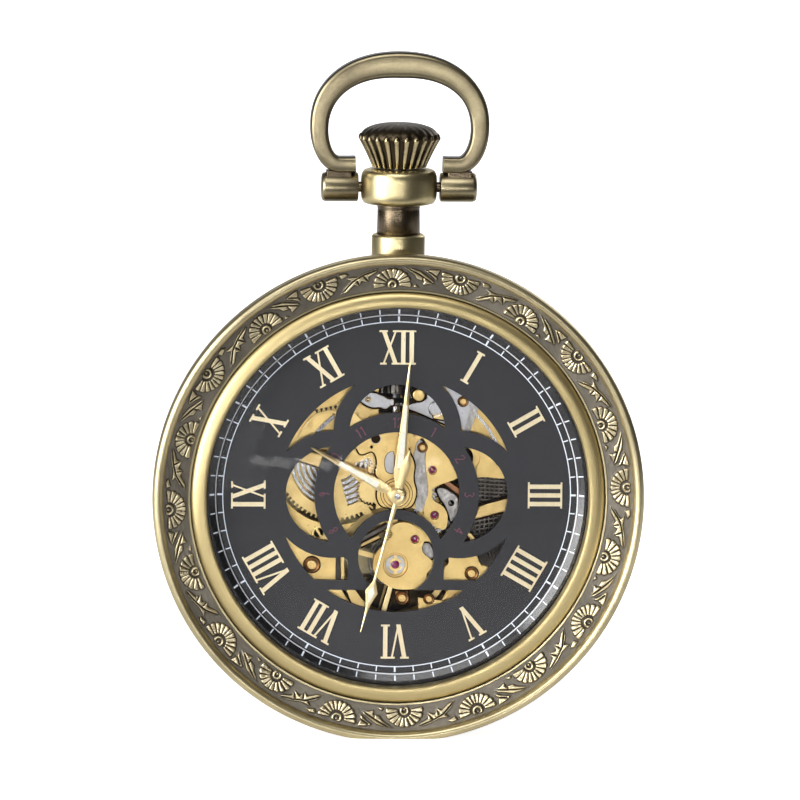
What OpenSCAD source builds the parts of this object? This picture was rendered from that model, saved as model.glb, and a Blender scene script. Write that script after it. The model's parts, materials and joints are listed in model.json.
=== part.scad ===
// Open-faced skeleton pocket watch, upright: the dial faces -Y, the pendant points to +Z.
// The origin is the middle of the flat face of the back cover, on the axis of the hands.
// Sizes are in millimetres.  "h" is always the height above the back face, towards the dial.

/* [Case] */
// Outer diameter of the bezel
case_d = 47; // [46.8:0.1:47.6]
// Height of the bezel's crest above the back face
case_t = 12.45; // [12.3:0.05:12.8]
// Thickness of the back cover's wall
cover_wall = 0.9; // [0.6:0.1:1.1]

/* [Bow and crown] */
// Outer half width of the bow
bow_half_w = 8.55; // [8.4:0.05:9]
// Height of the bow's pivot axis above the hands' axis
bow_pivot_z = 29.4; // [29.2:0.1:29.6]
// Outer diameter of the crown
crown_d = 7.88; // [7.4:0.02:8.2]
// Number of flutes round the crown
crown_flutes = 26; // [18:1:30]

/* [Dial and hands] */
// Thickness of the dial
dial_t = 0.4; // [0.3:0.05:0.4]
// Length of the hour hand from its axis
hour_len = 9.5; // [8:0.1:11]
// Length of the minute hand from its axis
minute_len = 13; // [11:0.1:14]
// Length of the second hand from its axis
second_len = 13.6; // [12:0.1:14.4]
// Hour shown by the hands at rest
shown_hour = 10; // [0:1:11]
// Seconds past the hour shown by the hands at rest
shown_s = 32; // [0:1:59]

/* [Movement] */
// Diameter of the main plate
movement_d = 24.8; // [24.4:0.1:25]
// Teeth round the mainspring barrel
barrel_teeth = 76; // [70:1:80]
// Outer diameter of the balance wheel
balance_d = 10.8; // [9.6:0.1:10.8]

/* [Hidden] */
$fn = 96;

// Clearance between pieces that only lie beside each other, and of a running pivot
gap = 0.05;
fit = 0.02;

// Heights above the back face
h_bridge = [3.1, 3.8];
h_fourth = [3.88, 4.04];
h_ratchet = [4.2, 4.58];
h_barrel = [4.68, 6.42];
h_barrel_teeth = [5.95, 6.42];
h_third = [5.3, 5.46];
h_escape = [5.98, 6.14];
h_center = [6.52, 6.68];
h_plate = [6.8, 7.4];
h_motion = [7.45, 7.68];
h_motion_pinion = [7.71, 7.9];
h_cover = [7.95, 8.13];
h_dial = [8.6 - dial_t, 8.6];
h_hour_hand = [8.9, 9.12];
h_minute_hand = [9.3, 9.5];
h_second_hand = [9.66, 9.78];
h_stem = 6;

// Places in the plane of the dial: x to the right, y towards the pendant
at_barrel = [-5.77, 2.98];
at_third = [3.44, 2.29];
at_escape = [3.71, -2.09];
at_pallet = [1.85, -4.42];
at_balance = [0, -6.95];
at_crown_wheel = [0, 6.516];
at_lever = [-2.8, 9.1];
at_yoke = [3.65, 8.25];
at_click = [-10.15, 5.2];

// Gear train: teeth, and modules from the distances between the axes
center_leaves = 10;
barrel_module = 2 * norm(at_barrel) / (barrel_teeth + center_leaves);
center_teeth = 60;
third_leaves = 8;
center_module = 2 * norm(at_third) / (center_teeth + third_leaves);
third_teeth = 64;
fourth_leaves = 8;
third_module = 2 * norm(at_third) / (third_teeth + fourth_leaves);
fourth_teeth = 70;
escape_leaves = 7;
fourth_module = 2 * norm(at_escape) / (fourth_teeth + escape_leaves);
escape_teeth = 15;
escape_r = 2.5;
ratchet_teeth = 48;
ratchet_module = norm(at_barrel - at_crown_wheel) / ratchet_teeth;

// Motion work: the cannon pinion turns the hour wheel twelve times slower through the minute wheel
motion_d = 2.1;
cannon_leaves = 12;
minute_teeth = 36;
minute_leaves = 10;
hour_teeth = 40;
cannon_module = 2 * motion_d / (cannon_leaves + minute_teeth);
hour_module = 2 * motion_d / (minute_leaves + hour_teeth);
at_minute = motion_d * [cos(95), sin(95)];
idler_teeth = 26;
setting_teeth = 22;
idler_reach = cannon_module * (minute_teeth + idler_teeth) / 2;
at_idler = [0, at_minute[1] + sqrt(idler_reach ^ 2 - at_minute[0] ^ 2)];
at_setting = at_idler + [0, cannon_module * (idler_teeth + setting_teeth) / 2];

minute_wheel_turn = mesh_turn([0, 0], cannon_leaves, 0, at_minute, minute_teeth);
idler_turn = mesh_turn(at_minute, minute_teeth, minute_wheel_turn, at_idler, idler_teeth);

// Coaxial arbors at the middle, from the second hand outwards
seconds_r = 0.13;
center_tube = [0.15, 0.3];
cannon_tube = [0.31, 0.42];
hour_tube = [0.46, 0.62];
pivot_r = 0.09;
arbor_r = 0.22;
jewel_r = 0.43;

// Case
case_r = case_d / 2;
bezel_edge = case_r - 0.95;
ring_r = [18.33, 19.9];
plate_r = movement_d / 2;
holder_r = 19.5;
holder_slot_w = 3.4;
stem_r = 0.5;
crown_r = crown_d / 2;
crown_z = [31.35, 35.6];
crown_base_r = 2.5;
neck_r = 2.07;
sleeve_r = 2.55;
neck_bore_r = 0.78;
collar_z = [27.75, 31.2];
collar_r = 3.7;
barrel_end_r = 1.4;
bow_pin_r = 0.5;

// Dial openings
window_r = 11.39;
ring_out = 7.9;
ring_in = 6.05;
lobe_at = 6.05;
lobe_out = 6.15;
lobe_in = 4.61;
foot_in = 3.65;
bar_y = [-9.25, -8.3];

// Hands: degrees clockwise from twelve
hour_turn = shown_hour * 30 - 1;
minute_turn = 4.8;
second_turn = shown_s * 6 + 2.2;

// Turn of wheel B that puts its teeth between those of wheel A
function mesh_turn(a, na, turn, b, nb) = let(p = atan2(b[1] - a[1], b[0] - a[0]))
    p + 180 - (0.5 - (p - turn) * na / 360) * 360 / nb;
function polar(r, a) = [r * cos(a), r * sin(a)];
function arc(c, r, a0, a1, n) = [for (i = [0:n]) c + polar(r, a0 + (a1 - a0) * i / n)];

// Turns a shape drawn over the dial's plane into the watch's own frame
module watch() rotate([90, 0, 0]) children();
module up(p, h) translate([p[0], p[1], h]) children();
module slab(h) translate([0, 0, h[0]]) linear_extrude(h[1] - h[0]) children();
module disc(p, r, h) up(p, h[0]) cylinder(r = r, h = h[1] - h[0]);
module pipe(p, r_in, r_out, h) up(p, h[0]) difference() {
    cylinder(r = r_out, h = h[1] - h[0]);
    translate([0, 0, -1]) cylinder(r = r_in, h = h[1] - h[0] + 2);
}
// A shaft along the pendant, from z[0] to z[1]
module along_stem(r, z) translate([0, -h_stem, z[0]]) cylinder(r = r, h = z[1] - z[0]);

// Flat outline of a spur wheel with straight-flanked teeth
module spur(n, m) {
    root = n * m / 2 - 1.2 * m;
    tip = n * m / 2 + 0.85 * m;
    step = 360 / n;
    polygon([for (i = [0:n - 1]) for (q = [[root, -0.26], [tip, -0.11], [tip, 0.11], [root, 0.26]])
        polar(q[0], (i + q[1]) * step)]);
}
// A sector of a flat ring
module sector(r0, r1, a0, a1, n = 12)
    polygon(concat(arc([0, 0], r1, a0, a1, n), arc([0, 0], r0, a1, a0, n)));
// Openings that leave a rim, a hub and a number of spokes
module between_spokes(r_hub, r_rim, spokes, w, turn = 0)
    difference() {
        circle(r_rim);
        circle(r_hub);
        for (i = [0:spokes - 1]) rotate(turn + i * 360 / spokes) translate([0, -w / 2])
            square([r_rim + 1, w]);
    }
// A staff with a thin pivot at both ends
module arbor(p, h, r = arbor_r, low = 0.25) {
    disc(p, r, [h[0] + low, h[1] - 0.25]);
    disc(p, pivot_r, h);
}

// ---------------------------------------------------------------- case

module mid_case() color("darkgoldenrod") difference() {
    watch() rotate_extrude() polygon([
        [19.8, 3.0], [21.75, 3.0], [21.75, 2.5], [22.55, 2.5], [23.0, 3.3], [23.1, 6.2],
        [23.0, 9.2], [22.7, 10.0], [19.8, 10.0]]);
    along_stem(sleeve_r + fit, [22.2, 26]);
    along_stem(neck_bore_r, [15, 26]);
}

// The rim is round, the engraved channel lies inside it and slopes down to the crystal's ring
module front_bezel() color("goldenrod") watch() rotate_extrude() polygon(concat(
    [[ring_r[1] + 0.02, 10.05], [case_r - 0.6, 10.05]],
    arc([case_r - 0.55, 10.6], 0.55, -80, 0, 4),
    arc([case_r - 0.75, case_t - 0.75], 0.75, 0, 115, 10),
    [[bezel_edge, case_t - 0.75], [bezel_edge - 0.1, case_t - 1.1], [ring_r[1] + 0.25, 10.75],
     [ring_r[1] + 0.02, 10.85]]));

module crystal_ring() color("gold") watch() rotate_extrude() polygon([
    [19.3, 9.2], [19.77, 9.2], [19.77, 10.05], [19.88, 10.08], [19.88, 10.62],
    [ring_r[1] - 0.2, 10.95], [19.25, 11.2], [ring_r[0] + 0.4, 11.35], [ring_r[0] + 0.12, 11.3],
    [ring_r[0], 11.15], [ring_r[0], 9.72], [19.3, 9.72]]);

// Radius of the crystal's dome, and the heights of its inner and outer crown
dome_r = 57.5;
dome_h = [12.0, 12.9];
module crystal() color("lightblue", 0.3) watch() rotate_extrude() polygon(concat(
    [[0, 12.0]],
    [for (i = [1:10]) let(x = 1.78 * i) [x, dome_h[0] - dome_r + sqrt(dome_r ^ 2 - x ^ 2)]],
    [[17.9, 9.2], [18.75, 9.2], [18.75, 9.66], [ring_r[0] - gap, 9.68]],
    [for (i = [10:-1:0]) let(x = (ring_r[0] - gap) * i / 10)
        [x, dome_h[1] - dome_r + sqrt(dome_r ^ 2 - x ^ 2)]]));

module crystal_gasket() color("black") watch()
    pipe([0, 0], 18.77, 19.28, [9.2, 9.68]);

// Black flange that slopes from the crystal down to the dial
module rehaut() color("black") watch() rotate_extrude() polygon([
    [17.25, 8.62], [19.25, 8.62], [19.25, 9.18], [18.02, 9.18], [17.3, 8.7]]);

module back_cover() color("darkgoldenrod") watch() rotate_extrude() polygon(concat(
    [[0, 0], [17, 0]],
    arc([17, 5.2], 5.2, -80, -32, 6),
    [[22.5, 2.45], [21.7, 2.45], [21.7, 2.95], [20.9, 2.95], [20.6, 2.45]],
    arc([17, 5.2], 5.2 - cover_wall, -38, -85, 6),
    [[0, cover_wall]]));

module pendant_sleeve() color("goldenrod") difference() {
    translate([0, -h_stem, 22.22]) rotate_extrude() polygon([
        [0, 0], [sleeve_r, 0], [sleeve_r, 2.4], [sleeve_r - 0.28, 2.68], [0, 2.68]]);
    along_stem(neck_bore_r, [21, 26]);
}

module pendant_neck() color("dimgray") difference() {
    along_stem(neck_r, [24.91, collar_z[0] - 0.01]);
    along_stem(neck_bore_r, [24, 29]);
}

module bow_collar() color("goldenrod") difference() {
    translate([0, -h_stem, 0]) rotate_extrude() polygon(concat(
        [[0, collar_z[0]], [collar_r - 0.75, collar_z[0]]],
        [for (i = [0:8]) let(s = i / 8, z = collar_z[0] + 0.25 + s * 2.95)
            [collar_r - 0.9 * (2 * s - 1) ^ 4 * 0.5 - 0.05, z]],
        [[collar_r - 0.75, collar_z[1]], [0, collar_z[1]]]));
    along_stem(neck_bore_r, [27, 32]);
    for (s = [-1, 1]) translate([s * 2.4, -h_stem, bow_pivot_z]) rotate([0, s * 90, 0])
        cylinder(r = bow_pin_r, h = 3);
}

// Each pin is fixed in the collar and carries one end of the bow
module bow_pivot_pins() color("goldenrod")
    for (s = [-1, 1]) translate([s * 2.4, -h_stem, bow_pivot_z]) rotate([0, s * 90, 0])
        cylinder(r = bow_pin_r, h = 4.9);

// Half of the bow's middle line from the top to the foot, as [x, z, half width, half depth]
bow_top_z = 41.15;
function bow_mid(t) = let(a = 90 * t)
    [7.7 * sin(a) ^ 0.86, 35.1 + (bow_top_z - 35.1) * cos(a) ^ 0.92, 1.25 - 0.4 * t, 1.15 - 0.2 * t];
function bow_foot(t) = let(a = 78 * t)
    [5.95 + 1.75 * cos(a), 35.1 - 3.6 * sin(a), 0.85 + 0.55 * t ^ 2, 0.95 + 0.1 * t];
bow_half = concat([for (i = [0:12]) bow_mid(i / 12)], [for (i = [1:8]) bow_foot(i / 8)]);
bow_n = len(bow_half);
bow_line = concat([for (i = [bow_n - 1:-1:1]) let(q = bow_half[i]) [-q[0], q[1], q[2], q[3]]],
    bow_half);
bow_sides = 12;
function bow_dir(i) = let(a = bow_line[max(i - 1, 0)], b = bow_line[min(i + 1, len(bow_line) - 1)],
    d = [b[0] - a[0], b[1] - a[1]]) d / norm(d);
function bow_ring(i) = let(q = bow_line[i], d = bow_dir(i))
    [for (j = [0:bow_sides - 1]) let(a = 360 * j / bow_sides, u = q[2] * cos(a))
        [q[0] + u * d[1], q[3] * sin(a) - h_stem, q[1] - u * d[0]]];
module bow() color("goldenrod") difference() {
    union() {
        polyhedron(
            points = [for (i = [0:len(bow_line) - 1]) each bow_ring(i)],
            faces = concat([[for (j = [0:bow_sides - 1]) j]],
                [for (i = [0:len(bow_line) - 2]) for (j = [0:bow_sides - 1])
                    let(k = (j + 1) % bow_sides, a = i * bow_sides, b = a + bow_sides)
                    [a + j, b + j, b + k, a + k]],
                [[for (j = [bow_sides - 1:-1:0]) (len(bow_line) - 1) * bow_sides + j]]));
        for (s = [-1, 1]) translate([s * 4.35, -h_stem - 0.9, 30.1]) mirror([s < 0 ? 1 : 0, 0, 0])
            cube([2.75, 1.8, 1.6]);
        for (s = [-1, 1]) translate([s * 3.9, -h_stem, bow_pivot_z]) rotate([0, s * 90, 0])
            cylinder(r = barrel_end_r, h = 3.55);
    }
    for (s = [-1, 1]) translate([s * 3.5, -h_stem, bow_pivot_z]) rotate([0, s * 90, 0])
        cylinder(r = bow_pin_r + fit, h = 3.85);
}

// ---------------------------------------------------------------- winding and setting

module crown() color("goldenrod") difference() {
    translate([0, -h_stem, 0]) rotate_extrude() polygon(concat(
        [[0, crown_z[0]], [crown_base_r, crown_z[0]], [crown_base_r + 0.15, crown_z[0] + 0.5],
         [crown_r - 0.25, 33.7], [crown_r, 34.15]],
        [for (i = [1:8]) let(a = 90 * i / 8)
            [crown_r * cos(a) ^ 0.75, 34.15 + (crown_z[1] - 34.15) * sin(a)]]));
    for (i = [0:crown_flutes - 1]) translate([0, -h_stem, 0]) rotate(i * 360 / crown_flutes)
        translate([crown_base_r + 0.22, 0, crown_z[0] - 0.1]) rotate([0, 27, 0])
            cylinder(r = 0.2, h = 4.2);
    along_stem(neck_bore_r - gap, [31, 33]);
}

module stem() color("silver") {
    along_stem(stem_r, [7, 24]);
    along_stem(neck_bore_r - gap, [24, 32.9]);
}

// A short drum with straight ridges along the stem
module ridged(r, n, z, turn = 0) translate([0, -h_stem, z[0]]) linear_extrude(z[1] - z[0])
    polygon([for (i = [0:n - 1]) for (q = [[r - 0.28, -0.27], [r, -0.13], [r, 0.13], [r - 0.28, 0.27]])
        polar(q[0], turn + (i + q[1]) * 360 / n)]);

winding_leaves = 16;
module winding_pinion() color("dimgray") difference() {
    union() {
        ridged(1.5, winding_leaves, [9.62, 10.4], 180 / winding_leaves);
        along_stem(0.95, [10.4, 10.9]);
    }
    along_stem(stem_r + fit, [9, 12]);
}

module clutch() color("gray") difference() {
    union() {
        ridged(1.45, winding_leaves, [8.4, 8.8]);
        along_stem(0.75, [8.4, 9.55]);
        ridged(1.2, winding_leaves, [9.3, 9.55]);
    }
    along_stem(stem_r + fit, [8, 10]);
}

module setting_lever() color("silver") watch() difference() {
    slab(h_motion) polygon(concat(
        arc(at_lever, 0.62, 100, 250, 8),
        [[-1.9, 8.0], [-0.95, 8.25], [-0.78, 8.62], [-1.1, 9.0], [-1.9, 9.55]]));
    disc(at_lever, 0.26, [7, 8]);
}

module yoke() color("silver") watch() difference() {
    slab(h_motion) polygon(concat(
        arc(at_yoke, 0.85, -80, 70, 8),
        [[2.6, 9.6], [1.75, 9.5], [1.7, 8.6], [1.75, 7.95], [2.9, 7.3]]));
    disc(at_yoke, 0.3, [7, 8]);
}

module yoke_spring() color("silver") watch() slab(h_motion)
    polygon(concat(arc([0, 0], 10.9, 22, 60, 14), [[4.6, 9.0]], arc([0, 0], 10.65, 60, 22, 14)));

// A flat wheel turning on a post
module posted_wheel(p, n, m, h, turn, bore = 0.22) difference() {
    up(p, 0) slab(h) rotate(turn) spur(n, m);
    disc(p, bore, [h[0] - 1, h[1] + 1]);
}

module setting_wheel() color("gold") watch()
    posted_wheel(at_setting, setting_teeth, cannon_module, h_motion,
        mesh_turn(at_idler, idler_teeth, idler_turn, at_setting, setting_teeth));

module setting_idler() color("gold") watch()
    posted_wheel(at_idler, idler_teeth, cannon_module, h_motion, idler_turn);

module minute_wheel() color("gold") watch() difference() {
    union() {
        up(at_minute, 0) slab(h_motion) rotate(minute_wheel_turn) spur(minute_teeth, cannon_module);
        up(at_minute, 0) slab([h_motion[1], h_motion_pinion[1]]) spur(minute_leaves, hour_module);
    }
    disc(at_minute, 0.17, [7, 8.5]);
}

module cannon_pinion() color("silver") watch() difference() {
    union() {
        slab(h_motion) spur(cannon_leaves, cannon_module);
        disc([0, 0], cannon_tube[1], [h_motion[1], 9.55]);
    }
    disc([0, 0], cannon_tube[0], [7, 10]);
}

module hour_wheel() color("gold") watch() difference() {
    union() {
        slab(h_motion_pinion) rotate(mesh_turn(at_minute, minute_leaves, 0, [0, 0], hour_teeth))
            spur(hour_teeth, hour_module);
        disc([0, 0], hour_tube[1], [h_motion_pinion[1], 9.16]);
    }
    disc([0, 0], hour_tube[0], [7, 10]);
}

// Plate over the setting wheels and the minute wheel
module keyless_cover() color("gold") watch() difference() {
    slab(h_cover) polygon(concat(
        [[2.1, 2.2], [2.0, 6.2], [1.75, 7.85], [-1.3, 7.85]],
        arc([-3.36, 4.3], 1.25, 70, 250, 10),
        [[-2.3, 3.0], [-1.9, 2.1], [-1.4, 1.6]], arc([0, 0], 2.1, 130, 52, 8)));
    disc([-0.55, 2.6], 0.62, [7, 9]);
    disc([-2.2, 5.45], 0.5, [7, 9]);
}

// ---------------------------------------------------------------- dial

module movement_ring() color("dimgray") difference() {
    watch() difference() {
        disc([0, 0], holder_r, [3.2, 8.18]);
        disc([0, 0], plate_r + fit, [3, 9]);
        // The holder is lightened behind, outside the plate's seat
        pipe([0, 0], 14.2, 18.2, [3, 6.9]);
    }
    translate([-holder_slot_w / 2, -h_stem - holder_slot_w / 2, 10])
        cube([holder_slot_w, holder_slot_w, 12]);
}

module movement_screws() color("silver") watch() for (a = [-30, 150])
    disc(polar(13.1, a), 0.9, [2.75, 3.15]);

module lobe(r, p) translate(p) circle(r);
module side_lobes(r) {
    lobe(r, [0, lobe_at]);
    lobe(r, [lobe_at, 0]);
    lobe(r, [-lobe_at, 0]);
}
// The see-through windows, all inside one circle
module windows() {
    // Crescents between the lobes, and the shapes above the lower bar
    difference() {
        circle(window_r);
        side_lobes(lobe_out);
        circle(ring_out);
        translate([-20, -20]) square([40, 20 + bar_y[1]]);
        translate([-4.6, -20]) square([9.2, 20]);
    }
    // Inside the three upper lobes
    difference() {
        intersection() {
            circle(window_r);
            side_lobes(lobe_in);
        }
        circle(ring_out);
    }
    // Middle
    difference() {
        circle(ring_in);
        lobe(lobe_in, [0, -lobe_at]);
    }
    // Lower lobe, open downwards past the bar
    lobe(foot_in, [0, -lobe_at]);
    intersection() {
        circle(window_r);
        translate([-6.7, -20]) square([13.1, 20 + bar_y[0]]);
    }
}

module dial() color([0.26, 0.26, 0.28]) watch() difference() {
    disc([0, 0], 18.9, h_dial);
    slab([8, 9]) windows();
    disc([0, 0], 0.8, [8, 9]);
}

// Roman figures, drawn upright about the middle of the figure, built of strokes with feet
fig_h = 3.3;
thin = 0.17;
thick = 0.42;
module stroke(x0, x1, w) {
    polygon([[x0 - w / 2, -fig_h / 2], [x0 + w / 2, -fig_h / 2],
             [x1 + w / 2, fig_h / 2], [x1 - w / 2, fig_h / 2]]);
}
module foot(x, y, w) translate([x - w / 2, y > 0 ? fig_h / 2 - thin : -fig_h / 2]) square([w, thin]);
module fig_i(x) {
    stroke(x, x, thick);
    foot(x, 1, thick + 0.42);
    foot(x, -1, thick + 0.42);
}
module fig_v(x) {
    stroke(x, x - 0.62, thick);
    stroke(x, x + 0.62, thin);
    foot(x - 0.62, 1, 0.82);
    foot(x + 0.62, 1, 0.62);
}
module fig_x(x) {
    stroke(x + 0.6, x - 0.6, thick);
    stroke(x - 0.6, x + 0.6, thin);
    foot(x - 0.6, 1, 0.8);
    foot(x + 0.6, 1, 0.62);
    foot(x - 0.6, -1, 0.62);
    foot(x + 0.6, -1, 0.8);
}
// Strokes of the twelve figures, as a kind and a place along the line
FIGURES = [
    [["x", -0.85], ["i", 0.45], ["i", 1.25]], [["i", 0]], [["i", -0.42], ["i", 0.42]],
    [["i", -0.84], ["i", 0], ["i", 0.84]], [["i", -1.26], ["i", -0.42], ["i", 0.42], ["i", 1.26]],
    [["v", 0]], [["v", -0.3], ["i", 0.95]], [["v", -0.7], ["i", 0.5], ["i", 1.3]],
    [["v", -1.1], ["i", 0.1], ["i", 0.9], ["i", 1.7]], [["i", -0.95], ["x", 0.35]],
    [["x", 0]], [["x", -0.4], ["i", 0.95]]];
module dial_numerals() color("gold") watch() for (n = [0:11])
    rotate(-30 * n) translate([0, 14.25, h_dial[1] + 0.01]) linear_extrude(0.12)
        for (g = FIGURES[n]) {
            if (g[0] == "i") fig_i(g[1]);
            if (g[0] == "v") fig_v(g[1]);
            if (g[0] == "x") fig_x(g[1]);
        }

// ---------------------------------------------------------------- plates and bridges

train_pivots = [at_third, at_escape, at_pallet];
module pivot_holes(h) for (p = train_pivots) disc(p, jewel_r, h);

module main_plate() color("gold") difference() {
    watch() difference() {
        union() {
            slab(h_plate) difference() {
                circle(plate_r);
                // Barrel, open on the lower left
                intersection() {
                    translate(at_barrel) circle(6.1);
                    polygon([[-20, -6], [-1.9, -6], [-1.9, 2.1], [-2.6, 3.4], [-4.9, 2.6],
                             [-7, 4.4], [-20, 4.4]]);
                }
                // Balance
                translate(at_balance) circle(balance_d / 2 + 0.3);
                // Right-hand side
                polygon(concat([[3.3, 0.6], [6.1, 1.5], [10.9, 1.6]], arc([0, 0], 11.5, 5, -38, 8),
                    [[7.6, -5.6], [4.6, -5.6], [4.5, -2.9], [4.7, -1.6], [3.4, -0.5]]));
                translate([10.5, 2.8]) circle(0.95);
                translate([6.1, 3.4]) circle(1.3);
            }
            // Lobe over the balance
            slab(h_plate) difference() {
                polygon(concat([[4.4, -4.6], [2.6, -3.5], [1.9, -3.0], [-0.4, -3.05], [-0.85, -4.7]],
                    arc(at_balance, 2.15, 130, 290, 14), [[2.2, -9.1], [4.4, -8.9]]));
                for (p = [[1.3, -3.1], [2.75, -5.75], [3.0, -7.95]]) translate(p) circle(0.58);
            }
            // Arm that carries the front pivot of the barrel
            slab(h_plate) translate(at_barrel) {
                circle(1.35);
                rotate(165) translate([0, -0.6]) square([5.8, 1.2]);
                rotate(28) translate([0, -0.6]) square([3.2, 1.2]);
            }
            // Bar across the lower right
            slab(h_plate) polygon([[6.4, -2.7], [6.9, -1.3], [11.6, -0.2], [11.5, -1.6]]);
            disc(at_minute, 0.15, [h_plate[1], 7.9]);
            disc(at_idler, 0.2, [h_plate[1], 7.75]);
            disc(at_setting, 0.2, [h_plate[1], 7.75]);
            disc(at_lever, 0.24, [h_plate[1], 7.75]);
            disc(at_yoke, 0.28, [h_plate[1], 7.75]);
        }
        pivot_holes([6, 8]);
        disc(at_barrel, 0.6, [6, 8]);
        disc(at_balance, 1.2, [6, 8]);
        disc([0, 0], center_tube[1] + fit, [6, 8]);
        for (p = [[-7.8, -7.0], [2.53, 4.38], [3.2, -10.2]]) disc(p, 0.42, [7.1, 8]);
    }
    // Slot for the winding pinion and the clutch
    translate([-1.8, -8, 7.7]) cube([3.6, 4, 6.3]);
}

// A post between a bridge and the main plate
module pillar(p, r) disc(p, r, [h_bridge[1] - 0.1, h_plate[0] - 0.01]);
barrel_pillar = [-4.6, 10.3];
train_pillars = [[9.2, 2.4], [8.8, -1.6]];
pallet_pillar = [6.7, -6.8];

module barrel_bridge() color("gold") watch() difference() {
    union() {
        slab(h_bridge) difference() {
            circle(plate_r - 0.3);
            translate([-20, -20]) square([40, 20.6]);
            translate([1.2, -20]) square([40, 24.5]);
            circle(4.6);
        }
        pillar(barrel_pillar, 0.9);
    }
    disc(at_barrel, 0.5, [3, 5]);
    disc(at_crown_wheel, 0.5, [3, 5]);
    disc(at_click, 0.4, [3, 5]);
}

module train_bridge() color("gold") watch() difference() {
    union() {
        slab(h_bridge) difference() {
            union() {
                circle(4.5);
                polygon([[1.4, 4.2], [9.6, 4.2], [10.6, 0.8], [9.6, -3.4], [2.4, -3.4], [-1, 0]]);
            }
            translate([-20, -20]) square([40, 16.5]);
        }
        for (p = train_pillars) pillar(p, 0.7);
    }
    disc(at_third, 0.2, [3, 5]);
    disc(at_escape, 0.2, [3, 5]);
    disc([0, 0], 0.2, [3, 5]);
}

module balance_cock() color("gold") watch() difference() {
    union() {
        slab(h_bridge) {
            translate(at_balance) circle(1.7);
            polygon([[-0.9, -8.2], [-5.2, -10.9], [0, -12.05], [5.2, -10.9], [0.9, -8.2]]);
        }
        slab([h_bridge[1], h_plate[0] - 0.01]) difference() {
            intersection() {
                circle(plate_r - 0.35);
                translate([-5, -20]) square([10, 40]);
                translate([-20, -14]) square([40, 4]);
            }
            translate(at_balance) circle(4.7 + 0.9);
        }
    }
    disc(at_balance, 0.2, [3, 5]);
}

module pallet_bridge() color("gold") watch() {
    slab([5.72, 5.92]) polygon([[1.0, -4.9], [1.6, -3.9], [3.4, -4.7], [6.9, -6.2], [7.4, -7.4],
                              [5.9, -7.4]]);
    disc(pallet_pillar, 0.45, [5.7, h_plate[0] - 0.01]);
}

module bridge_screws() color("silver") watch() {
    for (p = [barrel_pillar, train_pillars[0], train_pillars[1], [-3.2, -11.1], [3.2, -11.1]])
        disc(p, 0.62, [h_bridge[0] - 0.36, h_bridge[0] - 0.01]);
    for (p = [[-7.8, -7.0], [2.53, 4.38], [3.2, -10.2]]) disc(p, 0.4, [7.11, 7.42]);
}

module jewels() color("purple") watch() {
    for (p = train_pivots) pipe(p, pivot_r + fit, jewel_r - 0.01, [6.95, 7.3]);
    pipe(at_balance, pivot_r + fit, 0.45, [6.95, 7.25]);
}

module shock_setting() color("silver") watch() {
    pipe(at_balance, 0.62, 1.19, [6.82, 7.46]);
    disc(at_balance, 0.44, [7.28, 7.5]);
}

// ---------------------------------------------------------------- mainspring and winding

module barrel() color("gold") watch() up(at_barrel, 0) difference() {
    union() {
        disc([0, 0], 4.78, h_barrel);
        slab(h_barrel_teeth) rotate(mesh_turn([0, 0], center_leaves, 0, at_barrel, barrel_teeth))
            spur(barrel_teeth, barrel_module);
    }
    disc([0, 0], 4.6, [h_barrel[0] + 0.2, h_barrel[1] - 0.22]);
    disc([0, 0], 1.1, [4, 8]);
    slab([6, 8]) {
        sector(1.9, 4.55, 165, 243);
        sector(1.9, 4.55, 285, 317);
        sector(1.9, 4.55, 344, 375);
        sector(1.9, 4.55, 40, 110);
    }
}

module barrel_arbor() color("silver") watch() {
    disc(at_barrel, 1.05, [h_barrel[0] + 0.02, h_barrel[1] - 0.02]);
    disc(at_barrel, 0.55, [h_ratchet[0], h_plate[1] + 0.05]);
    disc(at_barrel, 0.48, [h_bridge[0] + 0.1, h_ratchet[0]]);
}

// Coiled strip: a spiral of rings joined by its own outline
spring_turns = 8;
function spiral(r0, r1, turns, side, n) =
    [for (i = [0:n * turns]) polar(r0 + (r1 - r0) * i / (n * turns) + side, 360 * i / n)];
module strip(r0, r1, turns, t, n) polygon(concat(spiral(r0, r1, turns, t / 2, n),
    [for (i = [n * turns:-1:0]) polar(r0 + (r1 - r0) * i / (n * turns) - t / 2, 360 * i / n)]));

module mainspring() color("silver") watch()
    up(at_barrel, 0) slab([h_barrel[0] + 0.3, h_barrel[1] - 0.3]) strip(1.4, 4.45, spring_turns, 0.16, 36);

module ratchet_wheel() color("silver") watch() difference() {
    up(at_barrel, 0) slab(h_ratchet)
        rotate(mesh_turn(at_crown_wheel, ratchet_teeth, 0, at_barrel, ratchet_teeth))
            spur(ratchet_teeth, ratchet_module);
    disc(at_barrel, 0.56, [4, 5]);
}

module crown_wheel() color("silver") watch() {
    up(at_crown_wheel, 0) slab(h_ratchet) spur(ratchet_teeth, ratchet_module);
    disc(at_crown_wheel, 0.48, [h_bridge[0] + 0.1, h_ratchet[0] + 0.1]);
}

module click() color("silver") watch() {
    up(at_click, 0) slab([h_ratchet[0] + 0.04, h_ratchet[1] - 0.04]) {
        circle(0.62);
        polygon([[-0.5, -0.3], [0.35, 0.45], [1.02, -1.1], [0.62, -1.16]]);
    }
    disc(at_click, 0.37, [h_bridge[0] + 0.1, h_ratchet[0] + 0.1]);
}

module click_spring() color("silver") watch()
    slab([4.26, 4.5]) polygon(concat(arc([0, 0], 11.95, 158, 190, 10), arc([0, 0], 11.8, 190, 158, 10)));

// ---------------------------------------------------------------- going train

// A toothed wheel with spokes
module spoked(n, m, h, spokes = 4, rim = 0.45, hub = 0.7, w = 0.34) slab(h) difference() {
    spur(n, m);
    between_spokes(hub, n * m / 2 - 1.2 * m - rim, spokes, w);
}

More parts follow.
